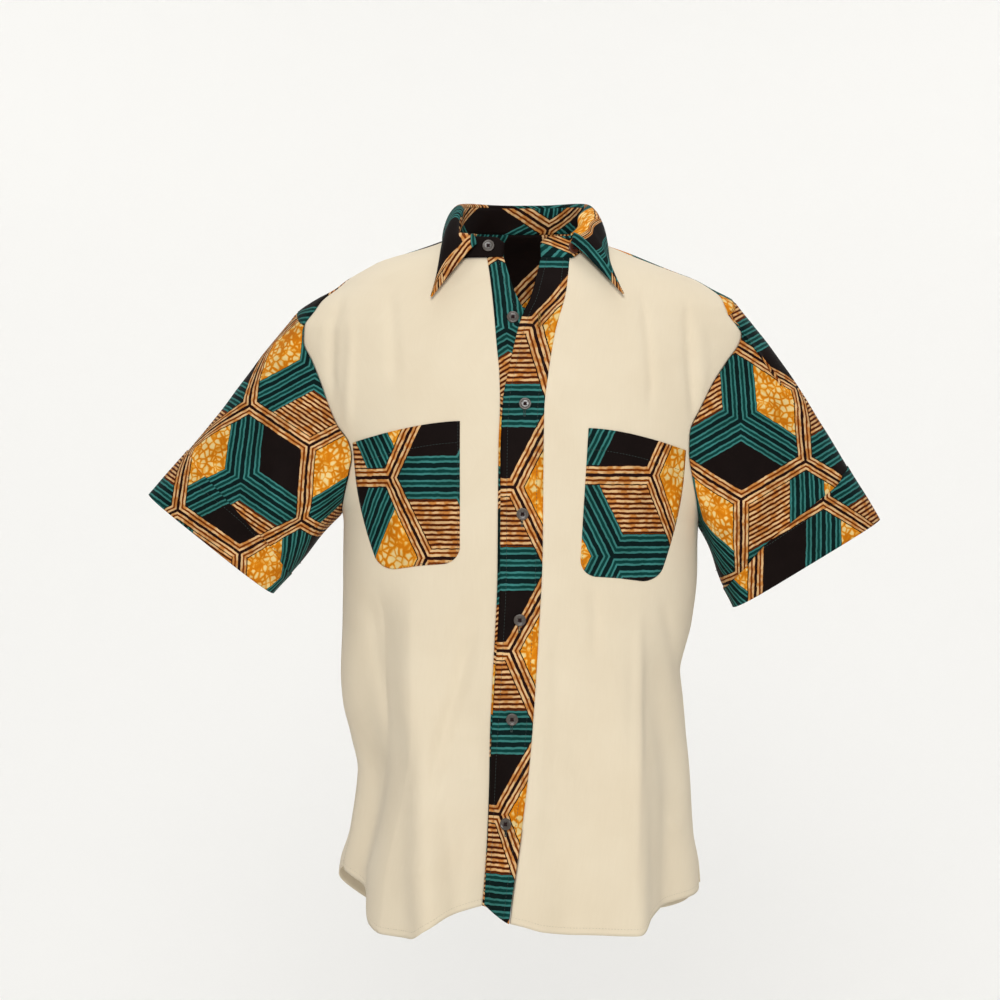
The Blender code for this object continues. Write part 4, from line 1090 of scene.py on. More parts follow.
MATH = "ShaderNodeMath"
VECTOR = "ShaderNodeVectorMath"
SPLIT = "ShaderNodeSeparateXYZ"
NOISE = "ShaderNodeTexNoise"
RAMP = "ShaderNodeValToRGB"
MIX = "ShaderNodeMix"
BUMP = "ShaderNodeBump"
SHADER = "ShaderNodeBsdfPrincipled"
OUTPUT = "ShaderNodeOutputMaterial"


def linear(colour):
    """A linear colour from an sRGB hex value."""
    parts = [int(colour[k : k + 2], 16) / 255 for k in (1, 3, 5)]
    straight = [c / 12.92 if c <= 0.04045 else ((c + 0.055) / 1.055) ** 2.4 for c in parts]
    return (*straight, 1.0)


def node(tree, kind, inputs=(), stops=(), blend="LINEAR", **settings):
    """Adds a node with its settings and links.

    Each input is a value, a node or a node's output. A colour ramp also has
    stops, each a position and a colour.
    """
    made = tree.nodes.new(kind)
    for key, value in settings.items():
        setattr(made, key, value)
    if stops:
        made.color_ramp.interpolation = blend
        points = made.color_ramp.elements
        while len(points) < len(stops):
            points.new(1.0)
        for point, (position, colour) in zip(points, stops):
            point.position = position
            point.color = linear(colour) if isinstance(colour, str) else colour
    pairs = inputs.items() if isinstance(inputs, dict) else enumerate(inputs)
    for key, value in pairs:
        if isinstance(value, bpy.types.Node):
            value = value.outputs[0]
        if isinstance(value, bpy.types.NodeSocket):
            tree.links.new(value, made.inputs[key])
        else:
            made.inputs[key].default_value = value
    return made


def new_material(name):
    """An empty material, and the function that adds a node to it."""
    made = bpy.data.materials.new(name)
    made.use_nodes = True
    made.node_tree.nodes.clear()
    return made, partial(node, made.node_tree)


def cloudy(coordinates, size, detail):
    """Inputs of a noise whose blots are about this many millimetres across."""
    return {"Vector": coordinates, "Scale": 1.0 / (size * MM), "Detail": detail}


def weave(add, cloth, pitch, strength):
    """A plain weave in relief: threads passing over and under each other."""
    scale = math.pi / (pitch * MM)
    scaled = add(VECTOR, (cloth, (scale,) * 3), operation="MULTIPLY")
    parts = add(SPLIT, (scaled,))
    warp, weft = (add(MATH, (parts.outputs[k],), operation="SINE") for k in (0, 1))
    crossing = add(MATH, (warp, weft), operation="MULTIPLY")
    rounds = [add(MATH, (wave,), operation="ABSOLUTE") for wave in (warp, weft)]
    thread = add(MATH, rounds, operation="ADD")
    height = add(MATH, (crossing, 0.5, thread), operation="MULTIPLY_ADD")
    return add(BUMP, {"Strength": strength, "Distance": pitch * MM, "Height": height})


def calico(name):
    """Unbleached cotton calico: plain-woven, undyed, washed soft.

    It is matt and cream, with faint slubs along the threads and a thin fuzz
    that lightens it where it turns away.
    """
    look = bpy.context.scene.shirt_look
    made, add = new_material(name)
    cloth = add("ShaderNodeUVMap", uv_map=CLOTH_MAP)
    clouds = add(NOISE, cloudy(cloth, CLOUD_SIZE, 3.0))
    drawn_out = add(VECTOR, (cloth, (1.0, SLUB_DRAWN_OUT, 1.0)), operation="MULTIPLY")
    slubs = add(NOISE, cloudy(drawn_out, SLUB_SIZE, 2.0))
    both = add(MATH, (slubs, SLUB_SHARE, clouds), operation="MULTIPLY_ADD")
    colour = add(RAMP, (both,), ((0.45, look.deep_cream), (0.85, look.cream)))
    # Real threads lie 0.45 mm apart; they are drawn twice as coarse so that they show
    threads = weave(add, cloth, CALICO_THREAD, 0.16)
    creases = add(NOISE, cloudy(cloth, SOFT_CREASE_SIZE, 4.0))
    relief = add(
        BUMP, {"Strength": 0.25, "Distance": 1.6 * MM, "Height": creases, "Normal": threads}
    )
    finish = {
        "Base Color": colour,
        "Normal": relief,
        "Roughness": 0.92,
        "IOR": 1.47,
        "Specular IOR Level": 0.25,
        "Sheen Weight": 0.12,
        "Sheen Roughness": 0.6,
    }
    add(OUTPUT, {"Surface": add(SHADER, finish)})
    return made


def hexagon_offsets(add, cloth, repeat):
    """The offset from the nearest hexagon's centre, where hexagons lie repeat apart.

    Columns of hexagons stand along the cloth, so the map's two axes are swapped
    for the sum and the result is in repeats.
    """
    # A hand-cut block wobbles by about 0.4 mm
    wobble = add(NOISE, cloudy(cloth, WOBBLE_SIZE, 1.0))
    centred = add(VECTOR, (wobble.outputs["Color"], (0.5, 0.5, 0.5)), operation="SUBTRACT")
    reach = (WOBBLE_REACH * MM, WOBBLE_REACH * MM, 0.0)
    moved = add(VECTOR, (centred, reach, cloth), operation="MULTIPLY_ADD")
    scaled = add(VECTOR, (moved, (1.0 / repeat,) * 3), operation="MULTIPLY")
    parts = add(SPLIT, (scaled,))
    swapped = add("ShaderNodeCombineXYZ", (parts.outputs[1], parts.outputs[0], 0.0))
    # Hexagons lie on two grids of boxes, the second half a box aside
    half = (0.5, ROOT_3 / 2, 0.5)
    minus_half = tuple(-value for value in half)
    shifted = add(VECTOR, (swapped, (0.5, ROOT_3 / 2, 0.0)), operation="ADD")
    boxes = [add(VECTOR, (at, half, minus_half), operation="WRAP") for at in (swapped, shifted)]
    reaches = [add(VECTOR, (box,), operation="LENGTH").outputs["Value"] for box in boxes]
    nearer = add(MATH, reaches, operation="GREATER_THAN")
    inputs = {"Factor": nearer, 4: boxes[0], 5: boxes[1]}
    return add(MIX, inputs, data_type="VECTOR").outputs[1]


def stripes(add, distance, steps, reach, lit=None):
    """Plain stripes at distances in millimetres, or white in those of one colour only."""
    share = add(MATH, (distance, reach), operation="DIVIDE")
    stops = [(at / reach, colour) for at, colour in steps]
    if lit:
        stops = [(at, WHITE if colour == lit else BLACK) for at, colour in stops]
    return add(RAMP, (share,), stops, "CONSTANT")


def crackle(add, cloth):
    """Wax that broke in the dye bath: pale cells with veins of dye between them."""
    sway = add(NOISE, cloudy(cloth, CRACKLE_SWAY_SIZE, 2.0))
    reach = (CRACKLE_SWAY * MM, CRACKLE_SWAY * MM, 0.0)
    pushed = add(VECTOR, (sway.outputs["Color"], reach, cloth), operation="MULTIPLY_ADD")
    scale = 1.0 / (CRACKLE_CELL * MM)
    inputs = {"Vector": pushed, "Scale": scale, "Randomness": 1.0}
    cells = add("ShaderNodeTexVoronoi", inputs, feature="DISTANCE_TO_EDGE")
    bubble = add(MATH, (sway, CRACKLE_UNEVEN, cells), operation="MULTIPLY_ADD")
    stops = (
        (0.28, CRACKLE_DEEP),
        (0.36, CRACKLE_ORANGE),
        (0.44, CRACKLE_LIGHT),
        (0.54, CRACKLE_PALE),
    )
    return add(RAMP, (bubble,), stops)


def fine_stripes(add, across, lights):
    """A field of light lines on brown, each with a dark line in its trough."""
    periods = add(MATH, (across, STRIPE_PERIOD), operation="DIVIDE")
    phase = add(MATH, (periods,), operation="FRACT")
    light = add(MATH, (phase, STRIPE_LIGHT), operation="LESS_THAN")
    dark = add(MATH, (phase, *STRIPE_DARK), operation="COMPARE")
    inputs = {"Factor": dark, 6: linear(BROWN), 7: linear(DARK_LINE)}
    ground = add(MIX, inputs, data_type="RGBA").outputs[2]
    return add(MIX, {"Factor": light, 6: ground, 7: lights}, data_type="RGBA").outputs[2]


def wax_print(name):
    """Wax-printed cotton: a plain weave dyed through a resist of wax, calendered after.

    A network of hexagons in orange and cream lines holds three-armed teal
    stripes, and the fields between the arms are black, striped or mottled
    where the wax cracked. It has a slight shine from the calender.
    """
    look = bpy.context.scene.shirt_look
    made, add = new_material(name)
    cloth = add("ShaderNodeUVMap", uv_map=CLOTH_MAP)
    offset = hexagon_offsets(add, cloth, look.repeat)
    in_mm = add(VECTOR, {0: offset, "Scale": look.repeat / MM}, operation="SCALE")

    # Distance to the border of the hexagon
    size = add(VECTOR, (in_mm,), operation="ABSOLUTE")
    slanted = add(VECTOR, (size, (0.5, ROOT_3 / 2, 0.0)), operation="DOT_PRODUCT")
    upright = add(SPLIT, (size,))
    widest = add(MATH, (slanted.outputs["Value"], upright), operation="MAXIMUM")
    border = add(MATH, (look.repeat / 2 / MM, widest), operation="SUBTRACT")

    # Reach along each arm, and distance from the nearest arm's middle line
    arms = [add(VECTOR, (in_mm, arm), operation="DOT_PRODUCT").outputs["Value"] for arm in ARMS]
    ends = []
    for operation in ("MAXIMUM", "MINIMUM"):
        two = add(MATH, arms[:2], operation=operation)
        ends.append(add(MATH, (two, arms[2]), operation=operation))
    longest, shortest = ends
    from_centre = add(VECTOR, (in_mm, in_mm), operation="DOT_PRODUCT").outputs["Value"]
    square = add(MATH, (longest, longest), operation="MULTIPLY")
    rest = add(MATH, (from_centre, square), operation="SUBTRACT")
    beside = add(MATH, (add(MATH, (rest, 0.0), operation="MAXIMUM"),), operation="SQRT")

    # Lines are orange with broken cream lights along them
    noise = add(NOISE, cloudy(cloth, LIGHT_SIZE, 1.0))
    lights = add(RAMP, (noise,), ((0.40, ORANGE_LINE), (0.56, CREAM_LINE)))
    reach = BAND_HALF + PAST_EDGE
    network = stripes(add, border, BAND_LINES, reach)
    network_line = stripes(add, border, BAND_LINES, reach, CREAM_LINE)

    # Each layer covers those before it where its mask is 1. Which field it is
    # follows from the arm that is furthest behind.
    across = add(SPLIT, (in_mm,))
    near = 0.0001
    is_mottled = add(MATH, (arms[0], shortest, near), operation="COMPARE")
    is_striped = add(MATH, (arms[2], shortest, near), operation="COMPARE")
    in_arm = add(MATH, (beside, ARM_HALF), operation="LESS_THAN")
    in_network = add(MATH, (border, BAND_HALF), operation="LESS_THAN")
    inputs = {"Factor": network_line, 6: network, 7: lights}
    network = add(MIX, inputs, data_type="RGBA").outputs[2]
    design = linear(WARM_BLACK)
    layers = (
        (is_mottled, crackle(add, cloth)),
        (is_striped, fine_stripes(add, across, lights)),
        (in_arm, stripes(add, beside, ARM_STRIPES, ARM_HALF + PAST_EDGE)),
        (in_network, network),
    )
    for mask, layer in layers:
        design = add(MIX, {"Factor": mask, 6: design, 7: layer}, data_type="RGBA").outputs[2]

    # Dye takes unevenly
    blots = add(NOISE, cloudy(cloth, DYE_BLOT_SIZE, 4.0))
    strength = add(RAMP, (blots,), ((0.3, THIN_DYE), (0.7, WHITE)))
    inputs = {"Factor": 1.0, 6: design, 7: strength}
    printed = add(MIX, inputs, data_type="RGBA", blend_type="MULTIPLY").outputs[2]
    finish = {
        "Base Color": printed,
        # Real threads lie 0.35 mm apart; they are drawn coarser so that they show
        "Normal": weave(add, cloth, PRINT_THREAD, 0.12),
        "Roughness": 0.72,
        "IOR": 1.47,
        "Specular IOR Level": 0.08,
        "Sheen Weight": 0.01,
    }
    add(OUTPUT, {"Surface": add(SHADER, finish)})
    return made


def polyester_button(name, colour):
    """Cast polyester resin: polished, with faint clouds like horn."""
    made, add = new_material(name)
    where = add("ShaderNodeTexCoord")
    clouds = add(NOISE, cloudy(where.outputs["Object"], HORN_CLOUD_SIZE, 3.0))
    *parts, _ = linear(colour)
    lighter = [min(1.0, value * HORN_LIGHT) for value in parts]
    inputs = {"Factor": clouds, 6: (*parts, 1.0), 7: (*lighter, 1.0)}
    mixed = add(MIX, inputs, data_type="RGBA").outputs[2]
    shader = add(SHADER, {"Base Color": mixed, "Roughness": 0.32, "IOR": 1.55})
    add(OUTPUT, {"Surface": shader})
    return made


def spun_thread(name, colour):
    """Spun polyester thread: two plies twisted together, slightly hairy."""
    made, add = new_material(name)
    where = add("ShaderNodeTexCoord")
    # The texture is a sine of ten times the sum of x, y and z
    scale = math.tau / (10.0 * ROOT_3 * TWIST_LENGTH * MM)
    inputs = {"Vector": where.outputs["Object"], "Scale": scale, "Distortion": 1.0}
    twist = add("ShaderNodeTexWave", inputs, bands_direction="DIAGONAL")
    *parts, _ = linear(colour)
    darker = [value * PLY_SHADE for value in parts]
    inputs = {"Factor": twist.outputs["Fac"], 6: (*darker, 1.0), 7: (*parts, 1.0)}
    mixed = add(MIX, inputs, data_type="RGBA").outputs[2]
    finish = {"Base Color": mixed, "Roughness": 0.8, "Specular IOR Level": 0.3}
    add(OUTPUT, {"Surface": add(SHADER, finish)})
    return made


def studio_paper(name):
    """Matt background paper, seamless and nearly white."""
    made, add = new_material(name)
    where = add("ShaderNodeTexCoord")
    grain = add(NOISE, cloudy(where.outputs["Object"], PAPER_GRAIN, 3.0))
    colour = add(RAMP, (grain,), ((0.0, FLOOR_GRAIN), (1.0, FLOOR_PALE)))
    add(OUTPUT, {"Surface": add(SHADER, {"Base Color": colour, "Roughness": 0.95})})
    return made


FINISHES = {
    "unbleached_cotton_calico": calico,
    "wax_printed_cotton": wax_print,
    "horn_grey_polyester_button": partial(polyester_button, colour=BUTTON_GREY),
    "brown_polyester_button": partial(polyester_button, colour=BUTTON_BROWN),
    "cream_sewing_thread": partial(spun_thread, colour=CREAM_THREAD),
    "maroon_sewing_thread": partial(spun_thread, colour=MAROON_THREAD),
    "ochre_sewing_thread": partial(spun_thread, colour=OCHRE_THREAD),
    "dark_sewing_thread": partial(spun_thread, colour=DARK_THREAD),
    "matt_studio_paper": studio_paper,
}


def finish_named(name):
    """A material, made the first time that it is asked for."""
    return bpy.data.materials.get(name) or FINISHES[name](name)


# Settings that a user would change


class ShirtLook(bpy.types.PropertyGroup):
    """Cloth and print."""

    cloth_thickness: bpy.props.FloatProperty(
        name="Cloth thickness",
        description="Thickness of one layer of cotton",
        default=0.9 * MM,
        min=0.3 * MM,
        max=1.5 * MM,
        unit="LENGTH",
        precision=5,
    )
    band_thickness: bpy.props.FloatProperty(
        name="Band thickness",
        description="Thickness of the bands and the collar",
        default=1.5 * MM,
        min=0.6 * MM,
        max=2.5 * MM,
        unit="LENGTH",
        precision=5,
    )
    repeat: bpy.props.FloatProperty(
        name="Repeat",
        description="Distance between the middles of two hexagons of the print",
        default=145.5 * MM,
        min=60.0 * MM,
        max=300.0 * MM,
        unit="LENGTH",
        precision=5,
    )
    cream: bpy.props.FloatVectorProperty(
        name="Cream",
        description="Colour of the plain cloth",
        default=linear(CREAM),
        size=4,
        min=0.0,
        max=1.0,
        subtype="COLOR",
    )
    deep_cream: bpy.props.FloatVectorProperty(
        name="Deep cream",
        description="Colour of the plain cloth where its threads are thicker",
        default=linear(CREAM_DEEP),
        size=4,
        min=0.0,
        max=1.0,
        subtype="COLOR",
    )


class ShirtSewing(bpy.types.PropertyGroup):
    """Buttons and stitches."""

    stitch_length: bpy.props.FloatProperty(
        name="Stitch length",
        description="Length of one stitch of the topstitching",
        default=2.4 * MM,
        min=1.0 * MM,
        max=6.0 * MM,
        unit="LENGTH",
        precision=5,
    )
    stitch_gap: bpy.props.FloatProperty(
        name="Stitch gap",
        description="Gap between two stitches",
        default=0.9 * MM,
        min=0.2 * MM,
        max=4.0 * MM,
        unit="LENGTH",
        precision=5,
    )
    button_radius: bpy.props.FloatProperty(
        name="Button radius",
        description="Radius of a shirt button",
        default=6.2 * MM,
        min=4.0 * MM,
        max=9.0 * MM,
        unit="LENGTH",
        precision=5,
    )
    buttonhole_length: bpy.props.FloatProperty(
        name="Buttonhole length",
        description="Length of a buttonhole",
        default=13.5 * MM,
        min=10.0 * MM,
        max=22.0 * MM,
        unit="LENGTH",
        precision=5,
    )


class ShirtStage(bpy.types.PropertyGroup):
    """Camera, lamps and floor."""

    camera_distance: bpy.props.FloatProperty(
        name="Camera distance",
        description="From the camera to the middle of the shirt",
        default=3.0,
        min=1.0,
        max=10.0,
        unit="LENGTH",
    )
    key_power: bpy.props.FloatProperty(
        name="Key light",
        description="Power of the large soft lamp",
        default=66.0,
        min=0.0,
        max=1000.0,
        unit="POWER",
    )
    sky_strength: bpy.props.FloatProperty(
        name="Sky strength",
        description="Brightness of the even light from all round",
        default=0.31,
        min=0.0,
        max=5.0,
    )
    floor_drop: bpy.props.FloatProperty(
        name="Floor drop",
        description="How far the floor lies below the shoulders",
        default=1.42,
        min=0.8,
        max=3.0,
        unit="LENGTH",
    )


# Cloth pieces


def even_flat(points):
    """Plain cloth coordinates: distances along and across the cloth."""
    return np.stack([lengths_along(points, 1), lengths_along(points, 0)], axis=-1)


def hang(name, points, flat, flip=False):
    """Makes the cloth of one part of the shirt, in place of its solid."""
    look = bpy.context.scene.shirt_look
    thick = look.band_thickness if name in DOUBLED else look.cloth_thickness
    cloth, uv = PLAIN, flat
    if name in CHARTS:
        cloth, uv = PRINTED, charted(flat, CHARTS[name])
    return place(cloth_piece(f"{name}_cloth", points, uv, cloth, thick, flip), cloth, name)


def front_grid(side):
    """Points and directions of a front, and the heights of its seam with its band."""
    edges = (OUTER_RIGHT_X, LEFT_HEM_Z) if side.sign > 0 else (UNDER_LEFT_X, RIGHT_HEM_Z)
    angle, z = front_places(side, *edges)
    seam_heights = z[:, 0]
    if side.sign < 0:
        angle, z = angle[:, ::-1], z[:, ::-1]
    points = on_body(angle, z)
    normals = grid_normals(points)
    moved = front_lift(points) + front_shape(points)
    return points + normals * moved[..., None], normals, seam_heights


def back_grid():
    """Points and directions of the back, which is looser below the yoke."""
    points = on_body(*back_places())
    normals = grid_normals(points)
    x, z = points[..., 0], points[..., 2]
    loose = BACK_WAVES * ease((YOKE_BACK_Z - z) / YOKE_SEAM_FADE)
    moved = loose * ripple(x + BACK_WAVE_SHIFT, z * BACK_WAVE_STRETCH)
    return points + normals * moved[..., None], normals


class SHIRT_OT_fronts_and_back(bpy.types.Operator):
    """Makes the two plain fronts and the back"""

    bl_idname = "shirt.fronts_and_back"
    bl_label = "Fronts and back"

    def execute(self, context):
        grids = {f"front_{side.name}": front_grid(side)[:2] for side in (LEFT, RIGHT)}
        grids["back"] = back_grid()
        for name, grid in grids.items():
            points = sew_in(*grid, ("first", "last", "top"))
            hang(name, points, even_flat(points))
        return {"FINISHED"}


def yoke_grid():
    """Points and directions of the yoke."""
    points = on_body(*yoke_places())
    return points, grid_normals(points)


def yoke_flat(points):
    """Flat places of the yoke: along the shoulders, and over them to the back."""
    line = np.array(SHOULDER_LINE, float)
    across = np.abs(points[..., 0])
    top = np.interp(across, line[:, 0], line[:, 1])
    out = np.interp(across, line[:, 0], lengths_of(line))
    over = np.hypot(points[..., 1], points[..., 2] - top)
    return np.stack([np.sign(points[..., 0]) * out, np.sign(points[..., 1]) * over], axis=-1)


class SHIRT_OT_yoke(bpy.types.Operator):
    """Makes the printed yoke over the shoulders"""

    bl_idname = "shirt.yoke"
    bl_label = "Yoke"

    def execute(self, context):
        points, normals = yoke_grid()
        sewn = sew_in(points, normals, ("first", "last", "bottom", "top"))
        hang("yoke", sewn, yoke_flat(points))
        return {"FINISHED"}


def band_grid(name):
    """Points, directions and flat places of one of the front bands."""
    if name == "band_outer":
        seam_z = front_grid(LEFT)[2]
        edges = (OUTER_LEFT_X, OUTER_RIGHT_X)
        points, normals = band_points(edges, band_lift, seam_z, 1, OUTER_BAND_HEM_Z)
    else:
        seam_z = front_grid(RIGHT)[2]
        edges = (UNDER_LEFT_X, UNDER_RIGHT_X)
        points, normals = band_points(edges, np.zeros_like, seam_z, 0, UNDER_BAND_HEM_Z)
    return points, normals, np.stack([lengths_along(points, 1), points[..., 2]], axis=-1)


class SHIRT_OT_front_bands(bpy.types.Operator):
    """Makes the buttonhole band and the button band under it"""

    bl_idname = "shirt.front_bands"
    bl_label = "Front bands"

    def execute(self, context):
        for name, seam in (("band_under", "first"), ("band_outer", "last")):
            points, normals, flat = band_grid(name)
            hang(name, sew_in(points, normals, (seam,)), flat)
        return {"FINISHED"}


def sleeve_surface(side):
    """Points, directions and flat places of a sleeve, and whether its grid is turned over."""
    points, turn = sleeve_points(side)
    flip = side.sign * -1.0
    normals = grid_normals(points, flip=flip)
    points = points + normals * sleeve_relief(points, turn, side)[..., None]
    normals = grid_normals(points, flip=flip)
    return points, normals, sleeve_flat(points, turn, side), flip < 0


class SHIRT_OT_sleeves(bpy.types.Operator):
    """Makes the short sleeves with their turned-up hems"""

    bl_idname = "shirt.sleeves"
    bl_label = "Sleeves"

    def execute(self, context):
        for side in (LEFT, RIGHT):
            points, normals, flat, flip = sleeve_surface(side)
            sleeve, hem = f"sleeve_{side.name}", f"sleeve_hem_{side.name}"
            made = hang(sleeve, sew_in(points, normals, ("bottom",)), flat, flip)

            lengths = lengths_along(points, 0)
            to_end = lengths[-1].mean() - lengths.mean(axis=1)
            rows = int(np.argmax(to_end <= SLEEVE_HEM_DEPTH + SLEEVE_HEM_TURNING))
            turned = points[rows:] + normals[rows:] * HEM_LIFT
            hang(hem, turned, flat[rows:], flip)
        return {"FINISHED"}


def pocket_surface(pocket):
    """Points, directions and flat places of a pocket lying on its front."""
    points, normals = pocket_points(pocket)
    # The rim is turned in and lies flat on the front
    rim = np.ones(points.shape[:2])
    for edge in (points[:, :1], points[:, -1:], points[:1]):
        off = np.linalg.norm(points - edge, axis=2)
        rim = np.minimum(rim, ease(off / POCKET_RIM_WIDTH))
    moved = front_lift(points) + front_shape(points, POCKET_FOLLOWS) + POCKET_LIFT
    moved = moved - POCKET_RIM_SINK * (1 - rim)
    across = lengths_along(points, 1)
    if pocket.outer_top_x > 0:
        flat_x = points[:, :1, 0] + across
    else:
        flat_x = points[:, -1:, 0] - (across[:, -1:] - across)
    flat = np.stack([flat_x, points[..., 2]], axis=-1)
    return points + normals * moved[..., None], normals, flat


class SHIRT_OT_pockets(bpy.types.Operator):
    """Makes the two printed patch pockets"""

    bl_idname = "shirt.pockets"
    bl_label = "Pockets"

    def execute(self, context):
        for pocket in POCKETS:
            points, _, flat = pocket_surface(pocket)
            made = hang(pocket.name, points, flat)
        return {"FINISHED"}


def facing_points(sign):
    """A strip beside a front edge of the leaf, narrowing to its point."""
    grid = leaf_points()
    if sign < 0:
        grid = grid[:, ::-1]
    edge = grid[FACING_FIRST_ROW:, 0]
    along = np.gradient(edge, axis=0)
    aside = np.stack([along[:, 2], np.zeros(len(along)), -along[:, 0]], axis=1)
    aside /= np.linalg.norm(aside, axis=1, keepdims=True)
    aside *= np.sign(aside[:, :1]) * sign
    share = lengths_of(edge) / lengths_of(edge)[-1]
    width = (FACING_WIDTH * (1 - share**FACING_TAPER) + FACING_TAIL_WIDTH)[:, None, None]
    across = np.linspace(-FACING_TUCK, 1.0, FACING_COLUMNS + 1)[None, :, None]
    points = edge[:, None] + aside[:, None] * width * across
    roll = np.clip(across[..., 0], 0.0, 1.0) * math.pi * FACING_ROLL
    points[..., 1] -= FACING_LIFT + FACING_BULGE * np.sin(roll)
    return points


class SHIRT_OT_collar(bpy.types.Operator):
    """Makes the collar: the stand round the neck and the leaf that folds over it"""

    bl_idname = "shirt.collar"
    bl_label = "Collar"

    def execute(self, context):
        foot, top, _ = stand_lines(neck_angles())
        from_end = np.minimum(lengths_of(foot), lengths_of(foot[::-1])[::-1])
        top[:, 2] -= STAND_END_ROUND * (1 - ease(from_end / STAND_END_FADE))
        stand = mix(foot, top, np.linspace(0.0, 1.0, STAND_ROWS + 1)[:, None, None])
        hang("collar_stand", stand, even_flat(stand))
        leaf = leaf_points()
        made = hang("collar_leaf", leaf, even_flat(leaf))

        # The under collar rolls out along the front edges and shows there as a strip
        thick = context.scene.shirt_look.cloth_thickness
        strips = []
        for end, sign in (("right", 1.0), ("left", -1.0)):
            strip = facing_points(sign)
            uv = charted(even_flat(strip), CHARTS[f"facing_{end}"])
            strips.append(cloth_piece(f"collar_facing_{end}", strip, uv, PRINTED, thick))
            place(strips[-1], PRINTED)
        return {"FINISHED"}


# Sewing: stitches are small tapered rods


def rods(starts, ends, outs, radius):
    """Vertices and faces of thin four-sided rods with pointed ends."""
    way = ends - starts
    way = way / np.maximum(np.linalg.norm(way, axis=1, keepdims=True), 1e-9)
    side = np.cross(way, outs)
    side = side / np.maximum(np.linalg.norm(side, axis=1, keepdims=True), 1e-9)
    up = np.cross(side, way)
    points = [starts]
    for share in ROD_SHOULDERS:
        middle = mix(starts, ends, share)
        for s, u in ((1, 0), (0, 1), (-1, 0), (0, -1)):
            points.append(middle + side * s * radius + up * u * radius)
    points.append(ends)
    vertices = np.stack(points, axis=1).reshape(-1, 3)
    faces = []
    for first in range(0, len(vertices), len(points)):
        for k in range(4):
            m = (k + 1) % 4
            corners = ((0, 1 + m, 1 + k), (1 + k, 1 + m, 5 + m, 5 + k), (5 + k, 5 + m, 9))
            faces += [[first + corner for corner in face] for face in corners]
    return vertices, faces


def line_in(points, normals, edge, inset):
    """The line on a grid that runs this far inside one of its edges, and its directions."""
    if edge in ("bottom", "top"):
        points, normals = np.swapaxes(points, 0, 1), np.swapaxes(normals, 0, 1)
    if edge in ("last", "top"):
        points, normals = points[:, ::-1], normals[:, ::-1]
    off = lengths_along(points, 1)
    lines = []
    for grid in (points, normals):
        rows = zip(off, grid)
        line = [[np.interp(inset, at, row[:, k]) for k in range(3)] for at, row in rows]
        lines.append(np.array(line))
    return lines


def stitched(points, normals, edge, inset, lift):
    """Starts, ends and directions of a row of stitches inside one edge of a grid of cloth."""
    sewing = bpy.context.scene.shirt_sewing
    length, gap = sewing.stitch_length / MM, sewing.stitch_gap / MM
    path, outs = line_in(points, normals, edge, inset)
    distance = lengths_of(path)
    begin = np.arange(gap / 2, distance[-1] - length, length + gap)

    def along(line, at):
        return np.stack([np.interp(at, distance, line[:, k]) for k in range(3)], axis=1)

    out = along(outs, begin)
    out = out / np.linalg.norm(out, axis=1, keepdims=True)
    return along(path, begin) + out * lift, along(path, begin + length) + out * lift, out


class SHIRT_OT_topstitching(bpy.types.Operator):
    """Sews the visible rows of stitches along the bands, pockets, yoke and hems"""

    bl_idname = "shirt.topstitching"
    bl_label = "Topstitching"

    def execute(self, context):
        look = context.scene.shirt_look
        half = look.cloth_thickness / MM / 2
        cream = []
        for side, seam in ((LEFT, "last"), (RIGHT, "first")):
            points, normals, _ = front_grid(side)
            low = slice(0, HEM_ROWS)
            cream.append(stitched(points, normals, "bottom", HEM_STITCHES, half))
            cream.append(stitched(points[low], normals[low], seam, SEAM_STITCHES, half))
        cream.append(stitched(*back_grid(), "bottom", HEM_STITCHES, half))

        dark = []
        for name, seams in (("band_outer", ("first", "last")), ("band_under", ("last",))):
            points, normals, _ = band_grid(name)
            lift = look.band_thickness / MM / 2
            dark += [stitched(points, normals, seam, BAND_STITCHES, lift) for seam in seams]
        for pocket in POCKETS:
            grid = pocket_surface(pocket)[:2]
            dark += [stitched(*grid, seam, inset, half) for seam, inset in POCKET_STITCHES.items()]
        dark.append(stitched(*yoke_grid(), "bottom", SEAM_STITCHES, half))
        for side in (LEFT, RIGHT):
            grid = sleeve_surface(side)[:2]
            dark.append(stitched(*grid, "top", SLEEVE_STITCHES, HEM_LIFT + half))

        for name, rows, slot in (("cream", cream, PLAIN), ("dark", dark, PRINTED)):
            starts, ends, outs = (np.concatenate(column) for column in zip(*rows))
            vertices, faces = rods(starts, ends, outs, STITCH_RADIUS)
            made = make_object(f"{name}_topstitching", vertices, faces, f"{name}_sewing_thread")
            place(made, slot)
        return {"FINISHED"}


# Buttons


def near_on(points, normals, x, z):
    """The place and direction on a grid nearest to x and z, seen from the front."""
    off = np.hypot(points[..., 0] - x, points[..., 2] - z)
    i, j = np.unravel_index(int(np.argmin(off)), off.shape)
    centre = points[i, j]
    normal = normals[i, j]
    shift = np.array([x - centre[0], 0.0, z - centre[2]])
    shift[1] = -(shift[0] * normal[0] + shift[2] * normal[2]) / normal[1]
    return centre + shift, normal


def axes_at(centre, normal):
    """A place's own axes: across, up along the cloth and out, and the place itself."""
    out = Vector(normal).normalized()
    across = Vector((0.0, 0.0, 1.0)).cross(out).normalized()
    across = -across if across.x < 0 else across
    up = out.cross(across)
    up = -up if up.z < 0 else up
    return np.array([across, up, out]), np.array(centre)


def set_in(vertices, axes):
    """Turns and moves vertices from a place's own axes to the shirt's."""
    turn, centre = axes
    return centre + np.asarray(vertices) @ turn


def between(lower, upper):
    """Faces between two closed rows of vertices that go round the same way."""
    after = [*range(1, len(lower)), 0]
    return [(lower[k], lower[m], upper[m], upper[k]) for k, m in enumerate(after)]


